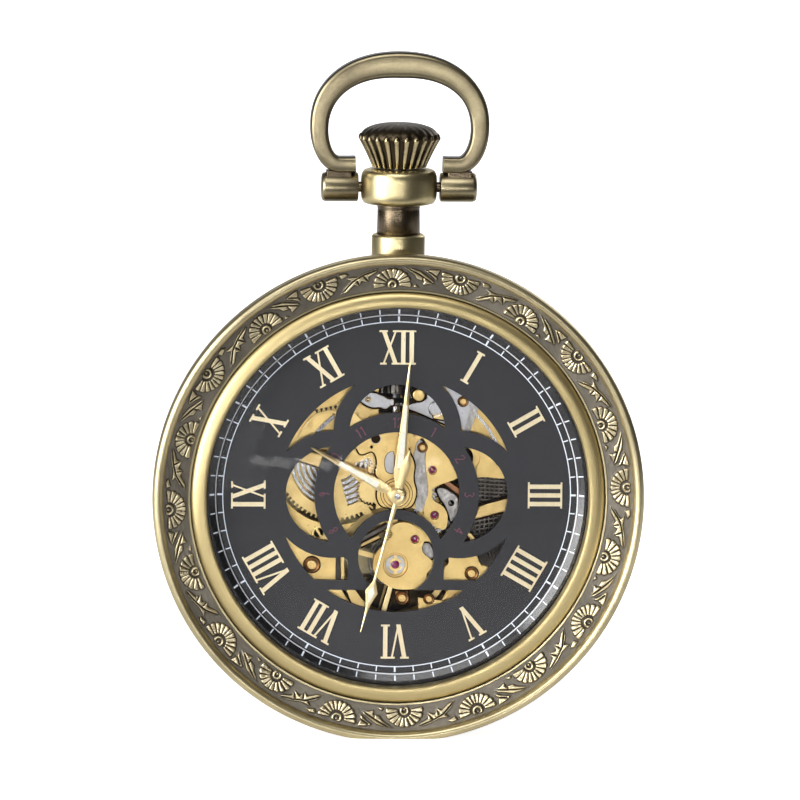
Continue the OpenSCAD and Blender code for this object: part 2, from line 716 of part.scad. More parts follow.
module center_wheel() color("gold") watch() difference() {
    union() {
        spoked(center_teeth, center_module, h_center, 4, 0.5, 0.9, 0.42);
        slab([h_barrel_teeth[0] - 0.05, h_center[0] + 0.05]) spur(center_leaves, barrel_module);
        disc([0, 0], center_tube[1], [h_center[0], 9.1]);
    }
    disc([0, 0], center_tube[0], [5, 10]);
}

module third_wheel() color("gold") watch() up(at_third, 0) {
    spoked(third_teeth, third_module, h_third, 5);
    arbor([0, 0], [h_bridge[0] + 0.1, h_plate[1] - 0.2], arbor_r, 1);
    slab([6.46, 6.76]) rotate(mesh_turn([0, 0], center_teeth, 0, at_third, third_leaves))
        spur(third_leaves, center_module);
}

module fourth_wheel() color("gold") watch() {
    spoked(fourth_teeth, fourth_module, h_fourth, 4);
    slab([5.1, 5.62]) rotate(mesh_turn(at_third, third_teeth, 0, [0, 0], fourth_leaves))
        spur(fourth_leaves, third_module);
    disc([0, 0], arbor_r, [h_fourth[0], 5.2]);
    disc([0, 0], pivot_r, [h_bridge[0] + 0.1, h_fourth[0]]);
    disc([0, 0], seconds_r, [5, 9.9]);
}

module escape_wheel() color("silver") watch() up(at_escape, 0) {
    slab(h_escape) difference() {
        polygon([for (i = [0:escape_teeth - 1])
            for (q = [[escape_r - 0.55, 0.0], [escape_r, 7.5], [escape_r - 0.08, 9.5], [escape_r - 0.55, 6]])
                polar(q[0], -i * 360 / escape_teeth - q[1])]);
        between_spokes(0.5, escape_r - 0.85, 4, 0.26);
    }
    arbor([0, 0], [h_bridge[0] + 0.1, h_plate[1] - 0.2], 0.16);
    slab([h_fourth[0] - 0.03, h_fourth[1] + 0.2])
        rotate(mesh_turn([0, 0], fourth_teeth, 0, at_escape, escape_leaves))
            spur(escape_leaves, fourth_module);
}

// Directions along the line from the escape wheel to the balance
lever_turn = atan2(at_balance[1] - at_pallet[1], at_balance[0] - at_pallet[0]);
module pallet_fork() color("silver") watch() up(at_pallet, 0) {
    slab(h_escape) rotate(lever_turn) {
        circle(0.4);
        translate([0, -0.13]) square([2.2, 0.26]);
        polygon([[2.1, -0.13], [2.5, -0.4], [2.62, -0.38], [2.4, -0.1], [2.4, 0.1], [2.62, 0.38],
                 [2.5, 0.4], [2.1, 0.13]]);
        polygon([[-0.2, -1.5], [0.1, -1.5], [0.3, 0], [0.1, 1.5], [-0.2, 1.5], [-0.05, 0]]);
    }
    disc([0, 0], pivot_r, [5.93, h_plate[1] - 0.2]);
}

module balance_wheel() color("gold") watch() up(at_balance, 0) slab([5.2, 5.6]) difference() {
    circle(balance_d / 2);
    rotate(-105) between_spokes(0.62, balance_d / 2 - 0.55, 4, 0.5);
    circle(0.21);
}

module balance_staff() color("silver") watch() {
    arbor(at_balance, [h_bridge[0] + 0.1, 7.2], 0.2);
    disc(at_balance, 0.46, [5.62, 5.85]);
    up(at_balance, 0) rotate(lever_turn + 180) translate([0.38, 0, 5.8]) cylinder(r = 0.07, h = 0.34);
}

module hairspring() color("steelblue") watch()
    up(at_balance, 0) slab([4.62, 4.74]) strip(0.55, 2.6, 8, 0.05, 30);

module regulator() color("silver") watch() difference() {
    slab([2.78, 3.05]) union() {
        translate(at_balance) circle(1.3);
        polygon([[-0.25, -7.5], [0.25, -7.5], [0.12, -11.3], [-0.12, -11.3]]);
    }
    disc(at_balance, 0.5, [2, 4]);
}

// ---------------------------------------------------------------- hands

// A tapered hand pointing to twelve: widest at "wide", with a slot for the luminous inlay
module blade(len, w, wide, slot0, slot1, slot_w) difference() {
    polygon([[-0.28, 0], [-w / 2, wide], [-0.11, len - 0.25], [0, len], [0.11, len - 0.25],
             [w / 2, wide], [0.28, 0]]);
    polygon([[-slot_w / 2, slot0], [-0.06, slot1], [0.06, slot1], [slot_w / 2, slot0]]);
}

module hour_hand() color("gold") watch() rotate(-hour_turn) difference() {
    union() {
        slab(h_hour_hand) blade(hour_len, 1.06, 1.7, 2.0, 6.2, 0.5);
        disc([0, 0], 0.92, h_hour_hand);
    }
    disc([0, 0], hour_tube[1], [8, 10]);
}

module minute_hand() color("gold") watch() rotate(-minute_turn) difference() {
    union() {
        slab(h_minute_hand) blade(minute_len, 1.12, 2.3, 2.6, 8.6, 0.5);
        disc([0, 0], 0.86, h_minute_hand);
    }
    disc([0, 0], cannon_tube[1], [8, 10]);
}

diamond_at = 9.6;
module second_hand() color("gold") watch() rotate(-second_turn) difference() {
    union() {
        slab(h_second_hand) {
            polygon([[-0.22, 0], [-0.14, diamond_at - 1], [-0.06, second_len], [0.06, second_len],
                     [0.14, diamond_at - 1], [0.22, 0]]);
            polygon([[0, diamond_at - 1.15], [-0.75, diamond_at], [0, diamond_at + 2.4],
                     [0.75, diamond_at]]);
            polygon([[-0.25, 0], [-0.45, -3.1], [0, -4.6], [0.45, -3.1], [0.25, 0]]);
        }
        disc([0, 0], 0.8, h_second_hand);
        disc([0, 0], 0.3, [h_second_hand[0], 9.95]);
    }
    disc([0, 0], seconds_r, [8, 9.9]);
}

mid_case();
front_bezel();
crystal_ring();
crystal();
crystal_gasket();
rehaut();
back_cover();
pendant_sleeve();
pendant_neck();
bow_collar();
bow_pivot_pins();
bow();
crown();
stem();
winding_pinion();
clutch();
setting_lever();
yoke();
yoke_spring();
setting_wheel();
setting_idler();
minute_wheel();
cannon_pinion();
hour_wheel();
keyless_cover();
movement_ring();
movement_screws();
dial();
dial_numerals();
main_plate();
barrel_bridge();
train_bridge();
balance_cock();
pallet_bridge();
bridge_screws();
jewels();
shock_setting();
barrel();
barrel_arbor();
mainspring();
ratchet_wheel();
crown_wheel();
click();
click_spring();
center_wheel();
third_wheel();
fourth_wheel();
escape_wheel();
pallet_fork();
balance_wheel();
balance_staff();
hairspring();
regulator();
hour_hand();
minute_hand();
second_hand();
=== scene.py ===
"""Looks of the skeleton pocket watch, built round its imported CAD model.

Sizes are written in millimetres in the dial's own plane: x to the right, y towards the pendant and
h, the height above the back face towards the dial.  watch() turns them into the scene's metres.
"""

import json
import math
import random

import bmesh
import bpy
import numpy as np
from mathutils import Matrix, Vector, noise


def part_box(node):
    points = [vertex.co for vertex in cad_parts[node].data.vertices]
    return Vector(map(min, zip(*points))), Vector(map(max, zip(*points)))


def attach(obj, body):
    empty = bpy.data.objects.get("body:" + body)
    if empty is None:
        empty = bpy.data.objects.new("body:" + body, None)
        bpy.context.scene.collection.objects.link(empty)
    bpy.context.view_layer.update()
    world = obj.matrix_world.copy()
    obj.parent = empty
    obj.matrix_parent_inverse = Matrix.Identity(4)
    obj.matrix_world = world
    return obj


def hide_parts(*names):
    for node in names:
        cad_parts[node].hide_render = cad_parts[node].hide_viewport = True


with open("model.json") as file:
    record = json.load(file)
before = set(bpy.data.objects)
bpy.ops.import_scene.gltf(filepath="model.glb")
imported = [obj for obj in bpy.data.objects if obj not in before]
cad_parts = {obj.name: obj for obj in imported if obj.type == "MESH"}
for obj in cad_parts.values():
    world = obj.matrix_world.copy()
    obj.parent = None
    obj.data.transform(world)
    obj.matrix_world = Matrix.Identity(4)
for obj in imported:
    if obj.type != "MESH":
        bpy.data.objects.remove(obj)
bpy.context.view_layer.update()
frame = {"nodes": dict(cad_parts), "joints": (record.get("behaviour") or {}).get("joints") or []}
nodes = frame["nodes"]
MM = 0.001
random.seed(7)


# ---------------------------------------------------------------- frame

def watch(x, y, h):
    """A point of the dial's plane, in metres."""
    return Vector((x * MM, -h * MM, y * MM))


def span(node, axis):
    """Lowest and highest place of a CAD node along an axis, in millimetres."""
    low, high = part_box(node)
    return low[axis] / MM, high[axis] / MM


def heights(node):
    """Height of a node's back and front faces above the back of the watch."""
    low, high = span(node, 1)
    return -high, -low


def joint(name):
    return next(j for j in frame["joints"] if j["name"] == name)


def at(name):
    """A hinge's place in the dial's plane."""
    x, _, z = joint(name)["pos_m"]
    return x / MM, z / MM


H_STEM = -joint("crown_turn")["pos_m"][1] / MM
AT_BARREL = at("barrel_turn")
AT_THIRD = at("third_turn")
AT_ESCAPE = at("escape_turn")
AT_PALLET = at("pallet_swing")
AT_BALANCE = at("balance_swing")
AT_LEVER = at("setting_lever_turn")
AT_YOKE = at("yoke_turn")
BOW_Z = joint("bow_swing")["pos_m"][2] / MM
DIAL_H = heights("dial")[1]
PLATE_H = heights("main_plate")
CASE_R = span("front_bezel", 0)[1]


# ---------------------------------------------------------------- materials

def new_material(name):
    mat = bpy.data.materials.new(name)
    mat.use_nodes = True
    tree = mat.node_tree
    tree.nodes.clear()
    out = tree.nodes.new("ShaderNodeOutputMaterial")
    shader = tree.nodes.new("ShaderNodeBsdfPrincipled")
    tree.links.new(shader.outputs[0], out.inputs[0])
    return mat, tree, shader


class Nodes:
    """Short calls for the nodes that the materials share."""

    def __init__(self, tree):
        self.tree = tree

    def add(self, kind, **settings):
        node = self.tree.nodes.new(kind)
        for key, value in settings.items():
            setattr(node, key, value)
        return node

    def put(self, socket, value):
        if isinstance(value, bpy.types.NodeSocket):
            self.tree.links.new(value, socket)
        else:
            socket.default_value = value

    def math(self, op, a, b=0.0):
        node = self.add("ShaderNodeMath", operation=op)
        self.put(node.inputs[0], a)
        self.put(node.inputs[1], b)
        return node.outputs[0]

    def mix(self, factor, a, b, blend="MIX"):
        node = self.add("ShaderNodeMix", data_type="RGBA", blend_type=blend)
        self.put(node.inputs[0], factor)
        self.put(node.inputs[6], a if isinstance(a, bpy.types.NodeSocket) else (*a, 1))
        self.put(node.inputs[7], b if isinstance(b, bpy.types.NodeSocket) else (*b, 1))
        return node.outputs[2]

    def ramp(self, factor, low, high, to_low=0.0, to_high=1.0):
        node = self.add("ShaderNodeMapRange", clamp=True)
        for socket, value in zip(node.inputs, (factor, low, high, to_low, to_high)):
            self.put(socket, value)
        return node.outputs[0]

    def noise(self, vector, scale, detail=4.0, rough=0.55, distortion=0.0):
        node = self.add("ShaderNodeTexNoise")
        self.put(node.inputs["Vector"], vector)
        self.put(node.inputs["Scale"], scale)
        self.put(node.inputs["Detail"], detail)
        self.put(node.inputs["Roughness"], rough)
        self.put(node.inputs["Distortion"], distortion)
        return node.outputs[0]

    def place(self):
        """The object's own coordinates, which are the watch's frame in metres."""
        return self.add("ShaderNodeTexCoord").outputs["Object"]

    def stretched(self, sizes, origin=(0, 0, 0)):
        node = self.add("ShaderNodeMapping")
        self.put(node.inputs[0], self.place())
        node.inputs[1].default_value = [-o * s for o, s in zip(origin, sizes)]
        node.inputs[3].default_value = sizes
        return node.outputs[0]

    def polar(self, axis="Y", centre=(0, 0, 0), along=1.0, across=1.0, lift=1.0):
        """Coordinates wrapped round an axis: angle, radius and height, each with its own scale."""
        node = self.add("ShaderNodeVectorMath", operation="SUBTRACT")
        self.put(node.inputs[0], self.place())
        node.inputs[1].default_value = centre
        parts = self.add("ShaderNodeSeparateXYZ")
        self.put(parts.inputs[0], node.outputs[0])
        x, y, z = parts.outputs
        u, v, w = {"Y": (x, z, y), "Z": (x, y, z), "X": (y, z, x)}[axis]
        radius = self.math("SQRT", self.math("ADD", self.math("MULTIPLY", u, u),
                                             self.math("MULTIPLY", v, v)))
        # The unit direction has no seam, unlike the angle itself
        safe = self.math("ADD", radius, 1e-6)
        join = self.add("ShaderNodeCombineXYZ")
        self.put(join.inputs[0], self.math("MULTIPLY", self.math("DIVIDE", u, safe), along))
        self.put(join.inputs[1], self.math("MULTIPLY", self.math("DIVIDE", v, safe), along))
        self.put(join.inputs[2], self.math("ADD", self.math("MULTIPLY", radius, across),
                                           self.math("MULTIPLY", w, lift)))
        return join.outputs[0]

    def bump(self, height, strength, distance, normal=None):
        node = self.add("ShaderNodeBump")
        node.inputs["Strength"].default_value = strength
        node.inputs["Distance"].default_value = distance
        self.put(node.inputs["Height"], height)
        if normal is not None:
            self.put(node.inputs["Normal"], normal)
        return node.outputs[0]


def metal(name, colour, dark, rough=0.25, spread=0.12, grain=None, bump=0.15, stain=0.5,
          stain_scale=260.0, metallic=1.0, aniso=0.0, pits=0.0):
    """A worn metal: patchy tarnish, grain along a direction, and roughness that follows both.

    grain is a function of Nodes that gives the coordinates along which the brushing runs."""
    mat, tree, shader = new_material(name)
    n = Nodes(tree)
    place = n.place()
    patches = n.noise(place, stain_scale, 5.0, 0.6)
    tarnish = n.ramp(patches, 0.42, 0.68, 0.0, stain)
    shader.inputs["Metallic"].default_value = metallic
    shader.inputs["Anisotropic"].default_value = aniso
    lines = n.noise(grain(n), 1.0, 3.0, 0.65) if grain else n.noise(place, 3200.0, 3.0, 0.6)
    toned = n.mix(tarnish, colour, dark)
    streak = n.ramp(lines, 0.3, 0.7, 0.0, 0.34 if grain else 0.14)
    n.put(shader.inputs["Base Color"], n.mix(streak, toned, tuple(c * 0.62 for c in colour)))
    uneven = n.ramp(n.math("ADD", n.math("MULTIPLY", patches, 0.5), n.math("MULTIPLY", lines, 0.5)),
                    0.3, 0.7, max(rough - spread, 0.04), rough + spread)
    n.put(shader.inputs["Roughness"], uneven)
    height = lines
    if pits:
        cell = n.add("ShaderNodeTexVoronoi")
        n.put(cell.inputs["Vector"], place)
        cell.inputs["Scale"].default_value = 2600.0
        height = n.math("ADD", lines, n.math("MULTIPLY", cell.outputs[0], pits))
    n.put(shader.inputs["Normal"], n.bump(height, bump, 0.00004))
    return mat


def round_y(centre=(0, 0, 0), along=9.0, across=26000.0):
    """Grain that runs round an axis through the dial."""
    return lambda n: n.polar("Y", centre, along, across, 9000.0)


def round_z(along=6.0, across=9000.0, lift=16000.0):
    """Grain that runs round the pendant."""
    return lambda n: n.polar("Z", (0, -H_STEM * MM, 0), along, across, lift)


def straight(sizes):
    return lambda n: n.stretched(sizes)


BRASS = (0.56, 0.47, 0.27)
BRASS_DARK = (0.17, 0.135, 0.085)
GOLD = (0.90, 0.66, 0.27)
GOLD_DARK = (0.52, 0.31, 0.09)
STEEL = (0.66, 0.66, 0.68)
STEEL_DARK = (0.26, 0.25, 0.24)

M = {
    "rim": metal("antique_brass_rim", (0.64, 0.55, 0.33), BRASS_DARK, 0.36, 0.05,
                 round_y(along=7.0), 0.02, 0.45, 180.0, aniso=0.4),
    "side": metal("antique_brass_side", (0.24, 0.195, 0.115), (0.10, 0.08, 0.05), 0.3, 0.1,
                  round_y(along=7.0), 0.14, 0.6, 160.0),
    "ring": metal("brushed_gold_ring", (0.62, 0.50, 0.25), (0.32, 0.25, 0.12), 0.36, 0.09,
                  round_y(along=5.0, across=34000.0), 0.22, 0.25, 140.0, aniso=0.5),
    "bow": metal("antique_brass_bow", (0.36, 0.305, 0.185), (0.12, 0.095, 0.07), 0.33, 0.06,
                 lambda n: n.polar("Y", (0, 0, 0.0352), 60.0, 2600.0, 2600.0), 0.08, 0.6, 260.0,
                 aniso=0.3),
    "collar": metal("antique_brass_collar", (0.60, 0.51, 0.28), BRASS_DARK, 0.33, 0.06,
                    round_z(), 0.07, 0.35, 260.0, aniso=0.3),
    "bronze": metal("dark_bronze", (0.15, 0.115, 0.075), (0.045, 0.035, 0.025), 0.3, 0.1,
                    round_z(), 0.2, 0.7, 320.0),
    "plate": metal("gilt_plate", GOLD, GOLD_DARK, 0.36, 0.1, None, 0.35, 0.35, 420.0, pits=0.5),
    "bridge": metal("gilt_bridge", (0.84, 0.62, 0.27), GOLD_DARK, 0.34, 0.1,
                    straight((2200.0, 300.0, 15000.0)), 0.25, 0.35, 380.0),
    "wheel": metal("gilt_wheel", (0.93, 0.70, 0.31), (0.55, 0.35, 0.12), 0.33, 0.08,
                   None, 0.03, 0.3, 520.0),
    "steel": metal("polished_steel", STEEL, STEEL_DARK, 0.27, 0.08,
                   straight((14000.0, 500.0, 1500.0)), 0.04, 0.3, 420.0),
    "dark_steel": metal("dark_steel", (0.17, 0.155, 0.14), (0.05, 0.045, 0.04), 0.32, 0.12,
                        None, 0.35, 0.6, 600.0),
    "blue_steel": metal("tempered_spring", (0.33, 0.35, 0.42), (0.13, 0.13, 0.18), 0.25, 0.08,
                        None, 0.15, 0.3, 700.0),
    "pale_steel": metal("brushed_pale_steel", (0.60, 0.60, 0.62), (0.36, 0.35, 0.34), 0.34, 0.1,
                        straight((9000.0, 600.0, 2500.0)), 0.3, 0.3, 420.0),
    "grey_steel": metal("grey_steel", (0.30, 0.30, 0.32), (0.12, 0.12, 0.12), 0.3, 0.1,
                        straight((9000.0, 600.0, 2500.0)), 0.25, 0.4, 420.0),
    "frosted_silver": metal("frosted_silver", (0.62, 0.60, 0.58), (0.30, 0.27, 0.24), 0.46, 0.1,
                            None, 0.9, 0.6, 900.0, pits=1.2),
    "copper": metal("copper_brown", (0.42, 0.21, 0.11), (0.14, 0.07, 0.04), 0.32, 0.1,
                    None, 0.25, 0.5, 700.0),
    "brown_screw": metal("brown_screw", (0.28, 0.13, 0.05), (0.10, 0.05, 0.02), 0.34, 0.1,
                         None, 0.25, 0.5, 900.0),
    "spring": metal("polished_spring", (0.74, 0.74, 0.77), (0.42, 0.42, 0.44), 0.24, 0.03,
                    None, 0.01, 0.2, 700.0),
    # Painted shadow: thin dark outlines and rings round the movement's pieces, where shade lies at their
    # edges.
    "edge": metal("edge_painted_shadow", (0.035, 0.02, 0.009), (0.012, 0.008, 0.005), 0.5, 0.1,
                  None, 0.2, 0.6, 420.0),
    # Painted shade: the bridges behind the movement are darkened gilt, for the shade inside the watch.
    "shade_gilt": metal("gilt_painted_shade", (0.11, 0.08, 0.04), (0.03, 0.022, 0.014), 0.5, 0.1,
                  None, 0.4, 0.6, 420.0),
    "hand": metal("polished_hand_gold", (0.95, 0.76, 0.40), (0.70, 0.50, 0.22), 0.3, 0.06,
                  None, 0.02, 0.25, 500.0),
    "numeral": metal("numeral_gold", (0.98, 0.85, 0.58), (0.72, 0.55, 0.28), 0.34, 0.08,
                     straight((9000.0, 900.0, 900.0)), 0.2, 0.2, 500.0),
    "holder": metal("holder_grey", (0.055, 0.052, 0.05), (0.02, 0.02, 0.02), 0.42, 0.1,
                    None, 0.3, 0.5, 400.0, metallic=0.7),
    "back": metal("antique_brass_back", BRASS, BRASS_DARK, 0.3, 0.1,
                  round_y(along=14.0, across=20000.0), 0.08, 0.3, 120.0),
}


def engraved_brass():
    """Brass of the engraved channel: tarnish lies in the ground, the relief is rubbed bright, and
    painted shade darkens the ground at the foot of the relief.
    """
    mat, tree, shader = new_material("engraved_brass")
    n = Nodes(tree)
    relief = n.add("ShaderNodeAttribute", attribute_name="relief").outputs["Fac"]
    place = n.place()
    fine = n.noise(place, 1500.0, 5.0, 0.65)
    patch = n.noise(place, 240.0, 4.0, 0.6)
    crevice_shade = n.add("ShaderNodeAttribute", attribute_name="crevice_shade").outputs["Fac"]
    wear_and_sheen = n.math("ADD", relief, n.ramp(fine, 0.3, 0.7, -0.3, 0.3))
    rubbed = n.ramp(wear_and_sheen, 0.35, 0.8)
    ground = n.mix(n.ramp(patch, 0.35, 0.65), (0.145, 0.13, 0.105), (0.235, 0.21, 0.17))
    high = n.mix(n.ramp(patch, 0.35, 0.7), (0.78, 0.68, 0.45), (0.50, 0.43, 0.28))
    toned = n.mix(rubbed, ground, high)
    # Painted shade: the ground beside the relief is darkened where shade would gather.
    n.put(shader.inputs["Base Color"], n.mix(n.ramp(crevice_shade, 0.12, 0.7, 0.0, 0.7), toned,
                                             (0.022, 0.016, 0.010)))
    shader.inputs["Metallic"].default_value = 1.0
    n.put(shader.inputs["Roughness"], n.ramp(rubbed, 0.0, 1.0, 0.5, 0.28))
    n.put(shader.inputs["Normal"], n.bump(fine, 0.45, 0.00006))
    return mat


def dial_black(name, colour, rough, coat, grain):
    """Black lacquer with a faint satin grain and a few specks."""
    mat, tree, shader = new_material(name)
    n = Nodes(tree)
    lines = n.noise(grain(n), 1.0, 3.0, 0.6)
    cloud = n.noise(n.place(), 90.0, 3.0, 0.5)
    light = tuple(min(1.0, c * 1.35) for c in colour)
    n.put(shader.inputs["Base Color"], n.mix(n.ramp(n.math("ADD", lines, cloud), 0.75, 1.25),
                                             colour, light))
    n.put(shader.inputs["Roughness"], n.ramp(lines, 0.3, 0.7, rough - 0.06, rough + 0.06))
    shader.inputs["Coat Weight"].default_value = coat
    shader.inputs["Coat Roughness"].default_value = 0.12
    n.put(shader.inputs["Normal"], n.bump(lines, 0.06, 0.00003))
    return mat


def paint(name, colour, rough=0.5, emission=0.0):
    """Printed or filled paint with a soft mottle, and with emission a painted glow."""
    mat, tree, shader = new_material(name)
    n = Nodes(tree)
    mottle = n.noise(n.place(), 2400.0, 4.0, 0.6)
    n.put(shader.inputs["Base Color"], n.mix(n.ramp(mottle, 0.3, 0.7), colour,
                                             tuple(c * 0.8 for c in colour)))
    n.put(shader.inputs["Roughness"], n.ramp(mottle, 0.3, 0.7, rough - 0.1, rough + 0.1))
    n.put(shader.inputs["Normal"], n.bump(mottle, 0.15, 0.00003))
    # Emission: a painted glow that brightens the paint, which is no lamp.
    if emission:
        shader.inputs["Emission Color"].default_value = (*colour, 1)
        shader.inputs["Emission Strength"].default_value = emission
    return mat


def ruby():
    mat, tree, shader = new_material("ruby")
    n = Nodes(tree)
    swirl = n.noise(n.place(), 1800.0, 3.0, 0.5, 0.6)
    n.put(shader.inputs["Base Color"], n.mix(n.ramp(swirl, 0.3, 0.7), (0.26, 0.012, 0.09),
                                             (0.13, 0.006, 0.055)))
    n.put(shader.inputs["Roughness"], n.ramp(swirl, 0.3, 0.7, 0.08, 0.16))
    shader.inputs["Coat Weight"].default_value = 0.8
    # A faint painted glow in the stone, which is no lamp.
    shader.inputs["Emission Color"].default_value = (0.4, 0.03, 0.2, 1)
    shader.inputs["Emission Strength"].default_value = 0.06
    return mat


def crystal_glass():
    """Thin clear mineral glass, told by its reflections alone."""
    mat, tree, shader = new_material("crystal_glass")
    n = Nodes(tree)
    wipe = n.noise(n.place(), 130.0, 3.0, 0.5)
    shader.inputs["Base Color"].default_value = (0.02, 0.022, 0.025, 1)
    shader.inputs["Alpha"].default_value = 0.05
    shader.inputs["Specular IOR Level"].default_value = 0.5
    n.put(shader.inputs["Roughness"], n.ramp(wipe, 0.3, 0.7, 0.02, 0.05))
    return mat


def gasket_rubber():
    mat, tree, shader = new_material("gasket_rubber")
    n = Nodes(tree)
    grit = n.noise(n.place(), 3500.0, 4.0, 0.6)
    n.put(shader.inputs["Base Color"], n.mix(n.ramp(grit, 0.3, 0.7), (0.02, 0.02, 0.022),
                                             (0.05, 0.05, 0.052)))
    n.put(shader.inputs["Roughness"], n.ramp(grit, 0.3, 0.7, 0.5, 0.75))
    n.put(shader.inputs["Normal"], n.bump(grit, 0.4, 0.00005))
    return mat


M["engraved"] = engraved_brass()
M["dial"] = dial_black("dial_lacquer", (0.016, 0.016, 0.020), 0.42, 0.25,
                       lambda n: n.stretched((700.0, 700.0, 9000.0)))
M["rehaut"] = dial_black("rehaut_lacquer", (0.010, 0.010, 0.012), 0.22, 0.6, round_y())
# Dark lacquer for the channel's walls, screw seats, teeth, a gap and a floor: painted shade in recesses.
M["well"] = dial_black("recess_painted_shade", (0.035, 0.026, 0.016), 0.5, 0.0, round_y())
# The white track, the silver line and the lume fill glow through emission: painted light.
M["white"] = paint("track_white", (0.82, 0.88, 0.98), 0.45, 0.25)
M["silver_line"] = paint("track_silver", (0.66, 0.68, 0.72), 0.35, 0.1)
M["violet"] = paint("inner_numeral_violet", (0.19, 0.06, 0.10), 0.5)
M["lume"] = paint("lume_fill_painted_glow", (0.86, 0.85, 0.74), 0.55, 0.1)
M["ruby"] = ruby()
M["crystal"] = crystal_glass()
M["rubber"] = gasket_rubber()


# ---------------------------------------------------------------- mesh helpers

def piece(name, mesh, material, body, replaces=(), smooth=35.0, bevel=None, segments=2):
    """Links a finished mesh as a named piece of the watch."""
    obj = bpy.data.objects.new(name, mesh)
    bpy.context.scene.collection.objects.link(obj)
    for m in material if isinstance(material, (list, tuple)) else [material]:
        mesh.materials.append(M[m])
    if smooth is not None:
        mesh.shade_smooth()
        mesh.set_sharp_from_angle(angle=math.radians(smooth))
    if bevel:
        add_bevel(obj, bevel, segments)
    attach(obj, body)
    if replaces:
        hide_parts(*replaces)
    return obj


def add_bevel(obj, width, segments=2, angle=32.0):
    mod = obj.modifiers.new("edge", "BEVEL")
    mod.width = width * MM
    mod.segments = segments
    mod.limit_method = "ANGLE"
    mod.angle_limit = math.radians(angle)
    mod.use_clamp_overlap = True
    mod.harden_normals = False


def from_pydata(name, points, faces):
    mesh = bpy.data.meshes.new(name)
    mesh.from_pydata([tuple(p) for p in points], [], faces)
    mesh.validate()
    mesh.update()
    return mesh


def close_loops(faces, rows, columns, closed_rows=False):
    """Quads of a grid whose columns wrap round."""
    for i in range(rows if closed_rows else rows - 1):
        a, b = i * columns, (i + 1) % rows * columns
        for j in range(columns):
            k = (j + 1) % columns
            faces.append((a + j, a + k, b + k, b + j))


def dial_lathe(name, profile, columns=240, centre=(0, 0), closed=True):
    """Turns a closed profile of (radius, height) round an axis through the dial."""
    points, faces = [], []
    for r, h in profile:
        for j in range(columns):
            a = 2 * math.pi * j / columns
            points.append(watch(centre[0] + r * math.cos(a), centre[1] + r * math.sin(a), h))
    close_loops(faces, len(profile), columns, closed)
    return tidy(from_pydata(name, points, faces))


def stem_lathe(name, profile, columns=96, scale=None, closed=True):
    """Turns a profile of (radius, z) round the pendant; scale(angle, z, r) may flute it."""
    points, faces = [], []
    for r, z in profile:
        for j in range(columns):
            a = 2 * math.pi * j / columns
            q = r * (scale(a, z, r) if scale else 1.0)
            points.append(Vector((q * math.cos(a) * MM, (-H_STEM + q * math.sin(a)) * MM, z * MM)))
    close_loops(faces, len(profile), columns, closed)
    return tidy(from_pydata(name, points, faces))


def tidy(mesh):
    """Welds doubled points, drops empty faces and turns the faces outwards."""
    bm = bmesh.new()
    bm.from_mesh(mesh)
    bmesh.ops.remove_doubles(bm, verts=bm.verts, dist=1e-7)
    bmesh.ops.dissolve_degenerate(bm, edges=bm.edges, dist=1e-8)
    bmesh.ops.recalc_face_normals(bm, faces=bm.faces)
    bm.to_mesh(mesh)
    bm.free()
    return mesh


def plate(name, outline, h0, h1, holes=()):
    """A flat piece between two heights, with holes, from outlines of (x, y)."""
    bm = bmesh.new()
    edges = []
    for loop in (outline, *holes):
        verts = [bm.verts.new(watch(x, y, h0)) for x, y in loop]
        edges += [bm.edges.new((verts[i], verts[(i + 1) % len(verts)])) for i in range(len(verts))]
    bmesh.ops.triangle_fill(bm, use_beauty=True, use_dissolve=True, edges=edges)
    grown = bmesh.ops.extrude_face_region(bm, geom=list(bm.faces))
    moved = [g for g in grown["geom"] if isinstance(g, bmesh.types.BMVert)]
    bmesh.ops.translate(bm, verts=moved, vec=watch(0, 0, h1 - h0))
    bmesh.ops.recalc_face_normals(bm, faces=bm.faces)
    mesh = bpy.data.meshes.new(name)
    bm.to_mesh(mesh)
    bm.free()
    return mesh


def joined(name, meshes):
    """One mesh from several, in order."""
    bm = bmesh.new()
    for mesh in meshes:
        bm.from_mesh(mesh)
        bpy.data.meshes.remove(mesh)
    mesh = bpy.data.meshes.new(name)
    bm.to_mesh(mesh)
    bm.free()
    return mesh


def ring_points(cx, cy, r, n=28, a0=0.0, a1=360.0):
    """Points of a circle or, where a1 - a0 isn't a full turn, of an arc with both its ends."""
    full = abs(abs(a1 - a0) - 360.0) < 1e-6
    steps = n if full else n - 1
    return [(cx + r * math.cos(math.radians(a0 + (a1 - a0) * i / steps)),
             cy + r * math.sin(math.radians(a0 + (a1 - a0) * i / steps))) for i in range(n)]


def turned(points, degrees, centre=(0, 0)):
    """Points turned clockwise, as a hand turns."""
    a = -math.radians(degrees)
    return [(centre[0] + (x - centre[0]) * math.cos(a) - (y - centre[1]) * math.sin(a),
             centre[1] + (x - centre[0]) * math.sin(a) + (y - centre[1]) * math.cos(a))
            for x, y in points]


# ---------------------------------------------------------------- engraved bezel

CHANNEL = (19.93, 22.5)
REPEATS = 10
RELIEF_H = 0.26
# Degrees that bring a rosette with its eye outwards to its place near the top
PATTERN_TURN = 21.0


def smooth_step(x, low, high):
    t = np.clip((x - low) / (high - low), 0, 1)
    return t * t * (3 - 2 * t)


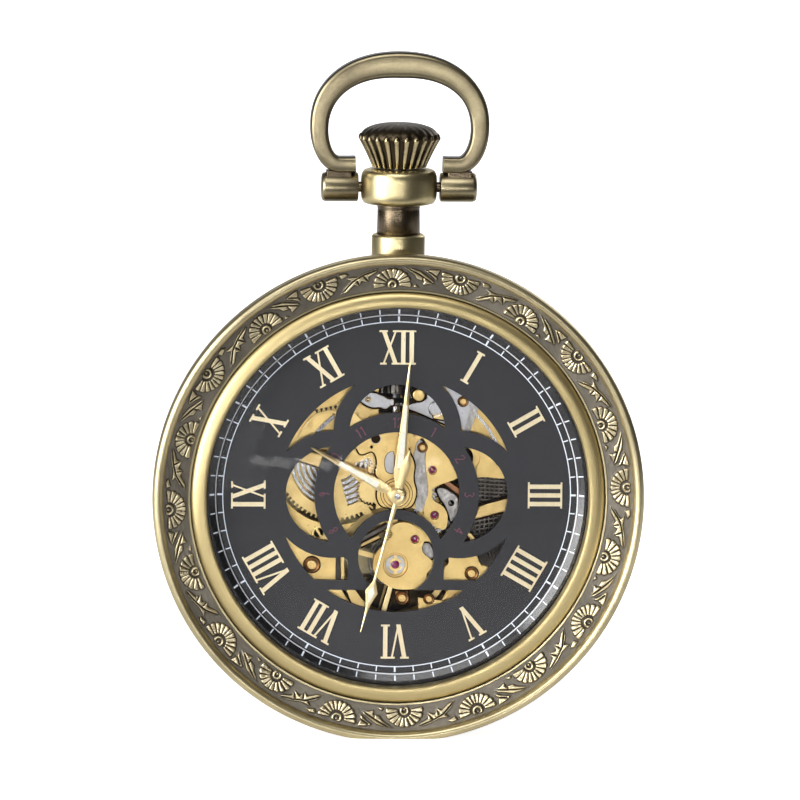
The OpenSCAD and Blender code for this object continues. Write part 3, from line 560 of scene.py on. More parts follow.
def fan(x, y, wide, tall, petals, eye):
    """Height of a half rosette whose eye is at the origin and whose petals point to +y."""
    a = np.degrees(np.arctan2(x, y))
    r = np.hypot(x / wide, y / tall)
    far = np.hypot(x, y)
    step = 200.0 / petals
    phase = np.abs(((a + 100.0) / step) % 1.0 - 0.5) * 2
    rim = smooth_step(1.0 - 0.07 * phase ** 3 - r, 0.0, 0.07)
    grooves = 1 - smooth_step(phase, 0.66, 0.9) * smooth_step(r, 0.98, 0.9) * 0.95
    petal = rim * grooves * smooth_step(far, eye + 0.12, eye + 0.26) * smooth_step(100 - np.abs(a), 0, 6)
    arch = smooth_step(0.15 - np.abs(far - eye * 0.72), 0.0, 0.1) * smooth_step(y, -0.34, -0.2)
    dot = smooth_step(0.13 - np.hypot(x, y + 0.08), 0.0, 0.08) * 0.8
    return np.maximum(petal * (0.82 + 0.18 * r), np.maximum(arch, dot))


def blade_area(x, y, corners, soft=0.1):
    """Height of a raised area with straight or hollow edges: 1 inside, falling at its border."""
    inside = np.full(x.shape, 1e9)
    turns = np.zeros(x.shape)
    n = len(corners)
    for i in range(n):
        (xa, ya), (xb, yb) = corners[i], corners[(i + 1) % n]
        dx, dy = xb - xa, yb - ya
        t = np.clip(((x - xa) * dx + (y - ya) * dy) / (dx * dx + dy * dy), 0, 1)
        inside = np.minimum(inside, np.hypot(x - xa - t * dx, y - ya - t * dy))
        crosses = ((ya > y) != (yb > y)) & (x < dx * (y - ya) / (dy if dy else 1e-9) + xa)
        turns += crosses
    return np.where(turns % 2 == 1, smooth_step(inside, 0.0, soft), 0.0)


def cut(x, y, line, width=0.07):
    """1 away from a polyline and 0 on it: an engraved vein."""
    away = np.full(x.shape, 1e9)
    for (xa, ya), (xb, yb) in zip(line, line[1:]):
        dx, dy = xb - xa, yb - ya
        t = np.clip(((x - xa) * dx + (y - ya) * dy) / (dx * dx + dy * dy), 0, 1)
        away = np.minimum(away, np.hypot(x - xa - t * dx, y - ya - t * dy))
    return smooth_step(away, width * 0.35, width * 1.5)


# One repeat of the scroll: x runs clockwise along the channel, y points out from its middle
LEAVES = (
    ([(1.75, -0.95), (2.5, -0.85), (3.3, -0.35), (3.75, -0.62), (4.0, -0.1), (4.7, -0.35),
      (4.75, 0.2), (5.4, 0.5), (6.3, 0.98), (5.5, 0.95), (4.5, 0.72), (3.6, 0.42), (2.6, 0.5),
      (3.0, 0.12), (2.3, -0.35)],
     [[(2.0, -0.8), (3.2, 0.05), (4.4, 0.5), (5.9, 0.9)], [(3.75, -0.5), (3.6, 0.0)],
      [(4.65, -0.2), (4.3, 0.35)]]),
    ([(8.0, 1.0), (8.8, 0.9), (9.7, 0.65), (10.3, 0.25), (10.9, -0.1), (11.25, -0.55),
      (10.6, -0.5), (9.9, -0.75), (10.0, -0.3), (9.3, -0.15), (9.1, 0.2), (8.6, 0.55)],
     [[(8.3, 0.95), (9.6, 0.3), (11.1, -0.5)], [(9.95, -0.65), (9.9, 0.0)]]),
    ([(9.95, 0.75), (10.6, 0.35), (11.3, -0.2), (11.2, 0.4), (11.45, 1.05), (10.6, 0.95)],
     [[(10.4, 0.7), (11.2, 0.3)]]),
    ([(1.95, 0.95), (2.2, 0.45), (3.0, 0.75), (2.6, 1.02)], []),
    ([(8.95, -0.95), (9.2, -0.6), (9.75, -0.98)], []),
)


def channel_relief(angle, radius):
    """Height of the engraving, 0 to 1, for a place in the channel: degrees clockwise, and mm."""
    per = 360.0 / REPEATS
    middle = sum(CHANNEL) / 2 + 0.08
    turn = per * math.pi / 180 * middle
    x = (angle % per) * math.pi / 180 * middle
    y = radius - middle
    height = np.zeros(x.shape)
    veins = np.ones(x.shape)
    for shift in (-turn, 0.0, turn):
        u = x - shift
        height = np.maximum(height, fan(u, -(y - 0.66), 1.86, 1.66, 11, 0.52))
        height = np.maximum(height, fan(u - 0.52 * turn, y + 0.72, 1.9, 1.62, 10, 0.48))
        for corners, lines in LEAVES:
            height = np.maximum(height, blade_area(u, y, corners))
            for line in lines:
                veins = np.minimum(veins, cut(u, y, line))
        # The thin line engraved round each rosette
        for ox, oy, sign in ((0.0, 0.66, -1), (0.52 * turn, -0.72, 1)):
            ring = np.hypot((u - ox) / 2.05, (y - oy) / 1.82)
            veins = np.minimum(veins, 1 - smooth_step(0.035 - np.abs(ring - 1), 0, 0.02)
                               * ((y - oy) * sign > -0.2))
    half = (CHANNEL[1] - CHANNEL[0]) / 2
    edge = smooth_step(half - 0.12 - np.abs(radius - sum(CHANNEL) / 2), 0.0, 0.1)
    return height * veins * edge


def blurred(field, reach):
    """A grid field averaged over its neighbours; columns wrap round and rows don't."""
    out = np.zeros_like(field)
    total = 0.0
    for i in range(-reach, reach + 1):
        rows = np.clip(np.arange(field.shape[0]) + i, 0, field.shape[0] - 1)
        for j in range(-reach, reach + 1):
            weight = math.exp(-(i * i + j * j) / (reach * 0.6) ** 2)
            out += weight * np.roll(field[rows], j, axis=1)
            total += weight
    return out / total


def build_bezel():
    """Round rim, and the engraved channel as a fine grid with real relief."""
    low, high = heights("front_bezel")
    r0, r1 = CHANNEL
    crest = high
    h_out, h_in = crest - 1.2, 10.86
    columns, rows = 1900, 52
    angle = np.arange(columns) * 360.0 / columns
    radius = np.linspace(r0, r1, rows)
    grid_a, grid_r = np.meshgrid(angle, radius)
    relief = channel_relief(grid_a + PATTERN_TURN, grid_r)
    base = h_in + (h_out - h_in) * (grid_r - r0) / (r1 - r0)
    grain = np.array([noise.noise(Vector((a * 0.55, r * 4.0, 0))) for a, r in
                      zip(grid_a.ravel(), grid_r.ravel())]).reshape(grid_a.shape)
    height = base - 0.04 + relief * RELIEF_H + grain * 0.012
    t = np.radians(90.0 - grid_a)
    points = np.stack([grid_r * np.cos(t), -height, grid_r * np.sin(t)], -1).reshape(-1, 3) * MM
    faces = []
    close_loops(faces, rows, columns)
    mesh = from_pydata("bezel_engraving", points, faces)
    # The second field marks painted shade in the ground at the foot of the relief.
    shade = {"relief": relief, "crevice_shade": np.clip(blurred(relief, 4) - relief, 0, 1) * 2.2}
    for key, field in shade.items():
        layer = mesh.attributes.new(key, "FLOAT", "POINT")
        layer.data.foreach_set("value", field.ravel().astype(np.float32))
    # The channel's walls and underside are dark: painted shade.
    skirt = [(r0, h_in - 0.06), (r0, h_in - 0.5), (r1, h_in - 0.5), (r1, h_out - 0.06)]
    under = dial_lathe("bezel_under", skirt, 720, closed=False)
    piece("bezel_engraving", mesh, "engraved", "root", ["front_bezel"], 180)
    piece("bezel_under", under, "well", "root", ["front_bezel"])
    outer = CASE_R
    profile = []
    half = (outer - r1 - 0.04) / 2
    for i in range(25):
        a = math.radians(-25 + 190 * i / 24)
        profile.append((outer - half + half * math.cos(a), crest - 0.55 + 0.55 * math.sin(a)))
    profile += [(r1 + 0.03, crest - 0.62), (r1 - 0.02, h_out - 0.1), (r1 - 0.02, low + 0.3),
                (21.0, low), (outer - 0.62, low)]
    profile += [(outer - 0.55 + 0.55 * math.cos(math.radians(a)),
                 low + 0.55 + 0.55 * math.sin(math.radians(a))) for a in (-80, -50, -20, 0, 25)]
    profile += [(outer - 0.17, low + 1.15)]
    piece("bezel_rim", dial_lathe("bezel_rim", profile, 420), "rim", "root",
          ["front_bezel"], 40)
    # The inner lip that the channel drops from
    lip = [(r0 + 0.02, h_in - 0.5), (r0 + 0.02, h_in + 0.03), (r0 - 0.03, h_in + 0.08),
           (r0 + 0.12, h_in + 0.1), (r0 + 0.17, h_in + 0.02), (r0 + 0.15, h_in - 0.5)]
    piece("bezel_inner_lip", dial_lathe("bezel_inner_lip", lip, 420), "rim", "root",
          ["front_bezel"], 40)


def build_crystal_ring():
    """Raised collar round the crystal: it falls away to the engraving in a brushed round."""
    low, high = heights("crystal_ring")
    r0 = 18.33
    r1 = span("crystal_ring", 0)[1]
    inner, outer = r0 + 0.42, r1 - 0.02
    profile = [(r0 + 1.0, low + 0.02), (r1 - 0.14, low + 0.02), (r1 - 0.14, 10.1), (outer, 10.14)]
    for i in range(11):
        a = math.radians(90 * i / 10)
        profile.append((inner + (outer - inner) * math.cos(a), high - 0.78 + 0.76 * math.sin(a) ** 0.8))
    profile += [(r0 + 0.26, high - 0.01), (r0 + 0.1, high - 0.06), (r0 + 0.02, high - 0.16),
                (r0, high - 0.3), (r0, low + 0.56), (r0 + 1.0, low + 0.54)]
    piece("crystal_ring_brushed", dial_lathe("crystal_ring_brushed", profile, 420), "ring", "root",
          ["crystal_ring"], 30)


# ---------------------------------------------------------------- dial and its track

def track_ticks(name, count, r0, r1, half_w, h0, h1, skip=None, material="white"):
    """Short radial bars, sloped from h0 at r0 to h1 at r1."""
    points, faces = [], []
    for i in range(count):
        if skip and skip(i):
            continue
        wide = half_w * (1.6 if i % 5 == 0 else 1.0)
        a = 2 * math.pi * i / count
        c, s = math.sin(a), math.cos(a)
        base = len(points)
        for r, h in ((r0, h0), (r1, h1)):
            for side in (-1, 1):
                for up in (0, 0.025):
                    points.append(watch(r * c + side * wide * s, r * s - side * wide * c, h + up))
        faces += [tuple(base + k for k in f) for f in
                  ((0, 2, 3, 1), (4, 5, 7, 6), (0, 1, 5, 4), (2, 6, 7, 3), (1, 3, 7, 5), (0, 4, 6, 2))]
    piece(name, tidy(from_pydata(name, points, faces)), material, "root", (), None)


def flat_ring(name, r0, r1, h0, h1, material, columns=300, lift=0.03):
    profile = [(r0, h0), (r1, h1), (r1, h1 + lift), (r0, h0 + lift)]
    piece(name, dial_lathe(name, profile, columns), material, "root", (), 25)


REHAUT = ((17.3, 8.7), (18.02, 9.18))


def build_track():
    track_ticks("dial_ticks", 60, 16.72, 17.22, 0.055, DIAL_H + 0.01, DIAL_H + 0.01)
    flat_ring("dial_circle", 16.66, 16.75, DIAL_H + 0.005, DIAL_H + 0.005, "white")
    slope = (REHAUT[1][1] - REHAUT[0][1]) / (REHAUT[1][0] - REHAUT[0][0])
    on_slope = lambda r: REHAUT[0][1] + (r - REHAUT[0][0]) * slope + 0.012
    track_ticks("rehaut_ticks", 60, 17.52, 17.98, 0.055, on_slope(17.52), on_slope(17.98))
    flat_ring("rehaut_line", 17.34, 17.45, on_slope(17.34), on_slope(17.45), "silver_line")


STROKES = {
    "1": [((0.0, 0.5), (0.0, -0.5)), ((0.0, 0.5), (-0.16, 0.36))],
    "2": [((-0.22, 0.3), (-0.1, 0.48)), ((-0.1, 0.48), (0.1, 0.48)), ((0.1, 0.48), (0.22, 0.3)),
          ((0.22, 0.3), (-0.24, -0.48)), ((-0.24, -0.48), (0.26, -0.48))],
    "3": [((-0.22, 0.42), (0.0, 0.5)), ((0.0, 0.5), (0.2, 0.28)), ((0.2, 0.28), (0.0, 0.03)),
          ((0.0, 0.03), (0.22, -0.25)), ((0.22, -0.25), (0.0, -0.5)), ((0.0, -0.5), (-0.22, -0.4))],
    "4": [((0.1, -0.5), (0.1, 0.5)), ((0.1, 0.5), (-0.26, -0.18)), ((-0.26, -0.18), (0.26, -0.18))],
    "8": [((0.0, 0.5), (0.2, 0.27)), ((0.2, 0.27), (-0.22, -0.25)), ((-0.22, -0.25), (0.0, -0.5)),
          ((0.0, -0.5), (0.22, -0.25)), ((0.22, -0.25), (-0.2, 0.27)), ((-0.2, 0.27), (0.0, 0.5))],
    "9": [((0.2, 0.25), (0.0, 0.5)), ((0.0, 0.5), (-0.2, 0.25)), ((-0.2, 0.25), (0.0, 0.0)),
          ((0.0, 0.0), (0.2, 0.25)), ((0.2, 0.25), (0.06, -0.5))],
    "0": [((-0.2, 0.0), (-0.12, 0.44)), ((-0.12, 0.44), (0.12, 0.44)), ((0.12, 0.44), (0.2, 0.0)),
          ((0.2, 0.0), (0.12, -0.44)), ((0.12, -0.44), (-0.12, -0.44)), ((-0.12, -0.44), (-0.2, 0.0))],
}


def build_inner_numerals():
    """The thirteen-to-twenty-four circle is not there: only a faint violet hour circle."""
    meshes = []
    size = 0.92
    for hour in (12, 1, 2, 3, 4, 8, 9, 10, 11):
        text = str(hour)
        for k, digit in enumerate(text):
            shift = (k - (len(text) - 1) / 2) * 0.5
            for (xa, ya), (xb, yb) in STROKES[digit]:
                d = Vector((xb - xa, yb - ya)).normalized() * 0.05
                n = Vector((-d.y, d.x))
                corners = [(xa - d.x + n.x, ya - d.y + n.y), (xb + d.x + n.x, yb + d.y + n.y),
                           (xb + d.x - n.x, yb + d.y - n.y), (xa - d.x - n.x, ya - d.y - n.y)]
                placed = [((x * size + shift), 6.98 + y * size) for x, y in corners]
                meshes.append(plate("figure", turned(placed, 30 * hour), DIAL_H - 0.02,
                                    DIAL_H + 0.02))
    piece("inner_numerals", joined("inner_numerals", meshes), "violet", "root",
          (), None)


# ---------------------------------------------------------------- hands

def hand_turn(node):
    """Degrees clockwise from twelve of a hand's tip, which is its point farthest from the axis."""
    tip = max((v.co for v in nodes[node].data.vertices), key=lambda c: math.hypot(c.x, c.z))
    return math.degrees(math.atan2(tip.x, tip.z))


HOUR_TURN, MINUTE_TURN, SECOND_TURN = map(hand_turn, ("hour_hand", "minute_hand", "second_hand"))


def ridged_blade(name, outline, h0, h1, turn, edge_drop=0.05):
    """A hand's blade: flat behind, and two facets in front that meet along a middle ridge.

    outline is the right-hand edge from the axis to the tip, as (x, y)."""
    points, faces = [], []
    rows = len(outline)
    for x, y in outline:
        for px, ph in ((-x, h0), (-x, h1 - edge_drop), (0, h1), (x, h1 - edge_drop), (x, h0)):
            points.append((px, y, ph))
    for i in range(rows - 1):
        for j in range(4):
            faces.append((i * 5 + j, i * 5 + j + 1, i * 5 + j + 6, i * 5 + j + 5))
        faces.append((i * 5 + 4, i * 5, i * 5 + 5, i * 5 + 9))
    faces.append((4, 3, 2, 1, 0))
    faces.append(tuple((rows - 1) * 5 + k for k in range(5)))
    placed = []
    for px, py, ph in points:
        (qx, qy), = turned([(px, py)], turn)
        placed.append(watch(qx, qy, ph))
    return tidy(from_pydata(name, placed, faces))


def inlay(name, outline, h0, h1, turn):
    return plate(name, turned(outline, turn), h0, h1)


def hub(name, r, bore, h0, h1):
    """A low domed boss round an arbor."""
    profile = [(bore, h0), (r, h0), (r, h1 - 0.07), (r - 0.03, h1 - 0.02), (r - 0.09, h1),
               (r * 0.62, h1), (r * 0.55, h1 - 0.03), (bore + 0.05, h1 - 0.03), (bore, h1 - 0.06)]
    return dial_lathe(name, profile, 72)


def build_hands():
    h0, h1 = heights("hour_hand")
    outline = [(0.3, 0.0), (0.34, 0.85), (0.55, 1.75), (0.5, 2.4), (0.3, 5.6), (0.2, 7.4),
               (0.1, 9.1), (0.03, 9.48)]
    blade = ridged_blade("hour_hand_blade", outline, h0, h1, HOUR_TURN)
    boss = hub("hour_hub", 0.92, 0.64, h0, h1)
    piece("hour_hand_gold", joined("hour_hand_gold", [blade, boss]), "hand", "hour",
          ["hour_hand"], 20)
    fill = [(-0.3, 2.1), (-0.15, 6.4), (0.15, 6.4), (0.3, 2.1)]
    piece("hour_hand_lume", inlay("hour_hand_lume", fill, h1 - 0.05, h1 + 0.015, HOUR_TURN), "lume",
          "hour", ["hour_hand"], None)

    h0, h1 = heights("minute_hand")
    outline = [(0.3, 0.0), (0.34, 0.95), (0.58, 2.3), (0.52, 3.1), (0.3, 8.0), (0.18, 10.6),
               (0.09, 12.5), (0.03, 12.98)]
    blade = ridged_blade("minute_hand_blade", outline, h0, h1, MINUTE_TURN)
    boss = hub("minute_hub", 0.86, 0.44, h0, h1)
    piece("minute_hand_gold", joined("minute_hand_gold", [blade, boss]), "hand", "minute",
          ["minute_hand"], 20)
    fill = [(-0.3, 2.7), (-0.13, 8.8), (0.13, 8.8), (0.3, 2.7)]
    piece("minute_hand_lume", inlay("minute_hand_lume", fill, h1 - 0.05, h1 + 0.015, MINUTE_TURN),
          "lume", "minute", ["minute_hand"], None)

    h0, h1 = heights("second_hand")
    h1 = h0 + 0.12
    outline = [(0.24, 0.0), (0.15, 4.0), (0.12, 8.4), (0.16, 8.55), (0.62, 9.6), (0.44, 10.1),
               (0.16, 11.1), (0.09, 11.9), (0.03, 13.58)]
    blade = ridged_blade("second_hand_blade", outline, h0, h1, SECOND_TURN)
    tail = [(0.24, 0.0), (0.3, -1.0), (0.45, -3.0), (0.4, -3.3), (0.03, -4.58)]
    back = ridged_blade("second_hand_tail", tail, h0, h1, SECOND_TURN)
    boss = hub("second_hub", 0.8, 0.14, h0, h1 + 0.05)
    piece("second_hand_gold", joined("second_hand_gold", [blade, back, boss]), "hand", "seconds",
          ["second_hand"], 20)
    fill = [(0, 8.95), (-0.33, 9.62), (0, 10.75), (0.33, 9.62)]
    piece("second_hand_lume", inlay("second_hand_lume", fill, h1 - 0.03, h1 + 0.012, SECOND_TURN),
          "lume", "seconds", ["second_hand"], None)
    pin = [(0.0, h1), (0.3, h1), (0.3, h1 + 0.1), (0.25, h1 + 0.15), (0.1, h1 + 0.165),
           (0.0, h1 + 0.165)]
    piece("second_hand_pin", dial_lathe("second_hand_pin", pin, 48, closed=False), "steel",
          "seconds", ["second_hand"], 35)


# ---------------------------------------------------------------- pendant, crown and bow

def rounded_step(r, z0, z1, radius, n=5):
    """The right-hand side of a drum with rounded edges, from bottom to top."""
    low = [(r - radius + radius * math.sin(math.radians(90 * i / n)),
            z0 + radius - radius * math.cos(math.radians(90 * i / n))) for i in range(n + 1)]
    high = [(r - radius + radius * math.cos(math.radians(90 * i / n)),
             z1 - radius + radius * math.sin(math.radians(90 * i / n))) for i in range(n + 1)]
    return low + high


def build_pendant():
    z0, z1 = span("pendant_sleeve", 2)
    r = span("pendant_sleeve", 0)[1]
    profile = [(0.8, z0 + 0.02)] + rounded_step(r, z0 + 0.02, z1, 0.3)
    profile = profile[:2] + profile[6:] + [(2.12, z1), (2.08, z1 - 0.1), (0.8, z1 - 0.1)]
    piece("pendant_sleeve_brass", stem_lathe("pendant_sleeve_brass", profile, 96), "collar", "root",
          ["pendant_sleeve"], 40)
    z0, z1 = span("pendant_neck", 2)
    r = span("pendant_neck", 0)[1]
    profile = [(0.8, z0), (r - 0.04, z0), (r, z0 + 0.05), (r - 0.04, z1 - 0.55), (r - 0.06, z1 - 0.45),
               (r - 0.02, z1 - 0.3), (r - 0.02, z1 - 0.02), (0.8, z1)]
    piece("pendant_neck_bronze", stem_lathe("pendant_neck_bronze", profile, 96), "bronze", "root",
          ["pendant_neck"], 40)
    z0, z1 = span("bow_collar", 2)
    r = span("bow_collar", 0)[1]
    steps = 20
    side = []
    for i in range(steps + 1):
        s = 2 * i / steps - 1
        bulge = 0.3 * abs(s) ** 5
        side.append((r - bulge, z0 + 0.16 + (z1 - z0 - 0.32) * i / steps))
    profile = [(0.8, z0 + 0.02), (r - 0.85, z0 + 0.02), (r - 0.62, z0 + 0.06)] + side + \
              [(r - 0.62, z1 - 0.06), (r - 0.85, z1 - 0.02), (0.8, z1 - 0.02)]
    piece("bow_collar_brass", stem_lathe("bow_collar_brass", profile, 128), "collar", "root",
          ["bow_collar"], 40)


FLUTES = 24


def build_crown():
    """A dome whose rounded ridges end in U-shaped tips at its widest line and fade at the top."""
    low, high = span("crown", 2)
    r = span("crown", 0)[1]
    wide = low + (high - low) * 0.64
    columns, rows = FLUTES * 20, 72
    points, sheen_masks = [], []
    for i in range(rows + 1):
        t = i / rows
        if t < 0.52:
            s = t / 0.52
            z = low + (wide - low) * s
            base = 2.6 + (r - 2.6) * (0.82 * s + 0.18 * s * s)
        else:
            a = (t - 0.52) / 0.48 * math.pi / 2
            z = wide + (high - 0.01 - wide) * math.sin(a)
            base = r * max(math.cos(a), 0.0) ** 0.8
        for j in range(columns):
            a = 2 * math.pi * j / columns
            u = (j / columns * FLUTES) % 1.0 - 0.5
            if z <= wide:
                width = 0.31 - 0.03 * (1 - (z - low) / (wide - low))
                ridge = max(0.0, 1 - (u / width) ** 2) ** 0.5
                depth = 0.34
                dark = 1.0
            else:
                rise = (z - wide) / (high - wide)
                width = 0.31 * max(0.0, 1 - (rise / 0.3) ** 2) ** 0.5 if rise < 0.3 else 0.0
                ridge = max(0.0, 1 - (u / width) ** 2) ** 0.5 if width > 0.02 else 0.0
                gorge = 1 - min(1.0, abs(u) / 0.5) ** 1.5
                ridge = max(ridge, min(1.0, 0.25 + rise * 1.1) * (0.55 + 0.45 * gorge))
                depth = 0.34 * (1 - 0.55 * rise)
                # Darker over the dome: painted shade.
                dark = 1 - 0.5 * min(1.0, rise / 0.3)
            q = max(base - depth * (1 - ridge), 0.0)
            points.append(Vector((q * math.cos(a) * MM, (-H_STEM + q * math.sin(a)) * MM, z * MM)))
            # The mask carries painted highlights on the ridges and painted shade in the flutes.
            sheen_masks.append(ridge * dark)
    faces = []
    close_loops(faces, rows + 1, columns)
    # Flat underside with a collar round the stem
    base = len(points)
    rings = [(2.3, low - 0.0), (2.2, low + 0.25), (0.74, low + 0.25)]
    for q, z in rings:
        for j in range(columns):
            a = 2 * math.pi * j / columns
            points.append(Vector((q * math.cos(a) * MM, (-H_STEM + q * math.sin(a)) * MM, z * MM)))
            sheen_masks.append(0.2)
    for k, start in enumerate((0, base, base + columns)):
        other = base if k == 0 else base + k * columns
        for j in range(columns):
            n = (j + 1) % columns
            faces.append((other + j, other + n, start + n, start + j) if k else
                         (start + j, start + n, other + n, other + j))
    mesh = from_pydata("crown_fluted", points, faces)
    layer = mesh.attributes.new("relief", "FLOAT", "POINT")
    layer.data.foreach_set("value", np.array(sheen_masks, np.float32))
    bm = bmesh.new()
    bm.from_mesh(mesh)
    bmesh.ops.remove_doubles(bm, verts=bm.verts, dist=2e-6)
    bmesh.ops.recalc_face_normals(bm, faces=bm.faces)
    bm.to_mesh(mesh)
    bm.free()
    piece("crown_fluted", mesh, "crown", "crown", ["crown"], 60)


def crown_brass():
    """Bright ridges over dark flutes, told apart by the relief: the bright ridges are painted
    highlights, the dark flutes and dome painted shade.
    """
    mat, tree, shader = new_material("crown_brass")
    n = Nodes(tree)
    relief = n.add("ShaderNodeAttribute", attribute_name="relief").outputs["Fac"]
    fine = n.noise(n.place(), 1300.0, 4.0, 0.6)
    # Painted highlight on the ridges and painted shade elsewhere, with a little wear noise.
    wear_and_sheen = n.ramp(n.math("ADD", relief, n.ramp(fine, 0.3, 0.7, -0.15, 0.15)), 0.5, 0.95)
    n.put(shader.inputs["Base Color"], n.mix(wear_and_sheen, (0.055, 0.042, 0.026), (0.56, 0.46, 0.26)))
    shader.inputs["Metallic"].default_value = 1.0
    n.put(shader.inputs["Roughness"], n.ramp(wear_and_sheen, 0.0, 1.0, 0.42, 0.24))
    n.put(shader.inputs["Normal"], n.bump(fine, 0.12, 0.00004))
    return mat


M["crown"] = crown_brass()

def bow_brass():
    """Brushed brass on the bow's faces, with painted shade on its walls, told apart by the edge mask."""
    mat = M["bow"]
    tree = mat.node_tree
    shader = next(node for node in tree.nodes if node.type == "BSDF_PRINCIPLED")
    n = Nodes(tree)
    edge = n.add("ShaderNodeAttribute", attribute_name="edge").outputs["Fac"]
    base = shader.inputs["Base Color"].links[0].from_socket
    # Painted shade: the bow's side walls are darkened.
    n.put(shader.inputs["Base Color"], n.mix(n.ramp(edge, 0.2, 0.9), base, (0.035, 0.028, 0.02)))


def bow_middle():
    """Middle line of the bow's right half, from the top to the foot, as (x, z, half width)."""
    top = span("bow", 2)[1] - 1.25
    side = span("bow", 0)[1] - 0.85
    shoulder = 35.1
    foot_x, foot_drop = 5.75, 3.52
    line = []
    for i in range(25):
        t = i / 24
        a = math.radians(90 * t)
        line.append((side * math.sin(a) ** 0.86,
                     shoulder + (top - shoulder) * max(math.cos(a), 0) ** 0.92, 1.25 - 0.4 * t))
    for i in range(1, 19):
        t = i / 18
        a = math.radians(90 * t)
        line.append((foot_x + (side - foot_x) * math.cos(a), shoulder - foot_drop * math.sin(a),
                     0.85 - 0.1 * t))
    line.append((4.75, 31.58, 0.75))
    line.append((4.2, 31.6, 0.75))
    return line


def build_bow():
    """One swept bar with flat brushed faces and chamfers, and a barrel at each foot."""
    half = bow_middle()
    line = [(-x, z, w) for x, z, w in reversed(half[1:])] + half
    count = len(line)
    depth = 1.12
    points, faces = [], []
    # A rounded rectangle: across, and in depth, for every corner of the section
    section = []
    for cx, cy, start in ((1, 1, 0), (-1, 1, 90), (-1, -1, 180), (1, -1, 270)):
        for k in range(5):
            a = math.radians(start + 22.5 * k)
            section.append((cx * 0.58 + 0.42 * math.cos(a), cy * 0.62 + 0.38 * math.sin(a)))
    m = len(section)
    for i, (x, z, w) in enumerate(line):
        xa, za, _ = line[max(i - 1, 0)]
        xb, zb, _ = line[min(i + 1, count - 1)]
        d = Vector((xb - xa, zb - za)).normalized()
        n = Vector((d.y, -d.x))
        for u, v in section:
            points.append(Vector(((x + n.x * u * w) * MM, (-H_STEM + v * depth) * MM,
                                  (z + n.y * u * w) * MM)))
    for i in range(count - 1):
        for j in range(m):
            k = (j + 1) % m
            faces.append((i * m + j, i * m + k, (i + 1) * m + k, (i + 1) * m + j))
    faces.append(tuple(range(m - 1, -1, -1)))
    faces.append(tuple((count - 1) * m + j for j in range(m)))
    bar = tidy(from_pydata("bow_bar", points, faces))
    # Marks the side walls for their painted shade.
    wall_shade = [0.0 if abs(u) < 0.93 else 1.0 for u, _ in section] * count
    layer = bar.attributes.new("edge", "FLOAT", "POINT")
    layer.data.foreach_set("value", np.array(wall_shade, np.float32))
    parts = [bar]
    bow_brass()
    for s in (-1, 1):
        parts.append(bow_barrel(s))
    piece("bow_bar", joined("bow_bar", parts), "bow", "bow", ["bow"], 38)
    steps = []
    for s in (-1, 1):
        outline = [(4.6, 30.3), (4.6, 30.95), (7.0, 31.0), (6.95, 30.3)]
        steps.append(along_depth("bow_step", [(s * x, z) for x, z in outline], 0.98))
    piece("bow_foot_step", joined("bow_foot_step", steps), "bronze", "bow", ["bow"],
          30, 0.12, 3)


def along_depth(name, outline, half):
    """A block with its outline in the (x, z) plane, standing half each way from the stem's plane."""
    bm = bmesh.new()
    verts = [bm.verts.new(Vector((x * MM, (-H_STEM - half) * MM, z * MM))) for x, z in outline]
    bm.faces.new(verts)
    grown = bmesh.ops.extrude_face_region(bm, geom=list(bm.faces))
    moved = [g for g in grown["geom"] if isinstance(g, bmesh.types.BMVert)]
    bmesh.ops.translate(bm, verts=moved, vec=Vector((0, 2 * half * MM, 0)))
    bmesh.ops.recalc_face_normals(bm, faces=bm.faces)
    mesh = bpy.data.meshes.new(name)
    bm.to_mesh(mesh)
    bm.free()
    return mesh


def bow_barrel(side):
    """A short drum across the pivot, with rounded ends and the bore of its pin."""
    x0, x1, r, bore = 3.92, span("bow", 0)[1] - 1.12, 1.4, 0.53
    profile = [(x0, bore), (x0, r - 0.16), (x0 + 0.05, r - 0.05), (x0 + 0.16, r), (x1 - 0.4, r),
               (x1 - 0.16, r - 0.06), (x1 - 0.04, r - 0.2), (x1, r - 0.4), (x1, bore)]
    columns = 64
    points, faces = [], []
    for x, q in profile:
        for j in range(columns):
            a = 2 * math.pi * j / columns
            points.append(Vector((side * x * MM, (-H_STEM + q * math.cos(a)) * MM,
                                  (BOW_Z + q * math.sin(a)) * MM)))
    close_loops(faces, len(profile), columns, True)
    return tidy(from_pydata("bow_barrel", points, faces))


# ---------------------------------------------------------------- case band and back

def build_case():
    """Middle case with slightly crowned sides, and the snap-on back with turned grooves."""
    low, high = heights("mid_case")
    band = [(19.8, low + 0.5), (21.75, low + 0.5), (21.75, low), (22.15, low), (22.3, low + 0.12),
            (22.42, low + 0.8), (22.5, low + 3.7), (22.42, high - 0.8), (22.36, high - 0.4),
            (22.2, high - 0.34), (22.2, high), (19.8, high)]
    piece("mid_case_band", dial_lathe("mid_case_band", band, 360), "side", "root",
          ["mid_case"], 40)
    edge = low - 0.05
    cover = [(0.0, 0.0), (15.6, 0.0), (15.66, 0.07), (15.84, 0.07), (15.9, 0.0), (16.3, 0.0),
             (16.38, 0.1), (16.66, 0.1), (16.74, 0.0), (17.0, 0.0)]
    cover += [(17 + 5.15 * math.cos(math.radians(a)), 5.2 + 5.2 * math.sin(math.radians(a)))
              for a in range(-84, -33, 5)]
    cover += [(21.5, edge - 0.16), (22.05, edge - 0.14), (22.2, edge - 0.08), (22.2, edge),
              (20.6, edge), (16.0, 1.0), (0.0, 0.8)]
    piece("back_cover_turned", dial_lathe("back_cover_turned", cover, 360, closed=False), "back",
          "root", ["back_cover"], 30)


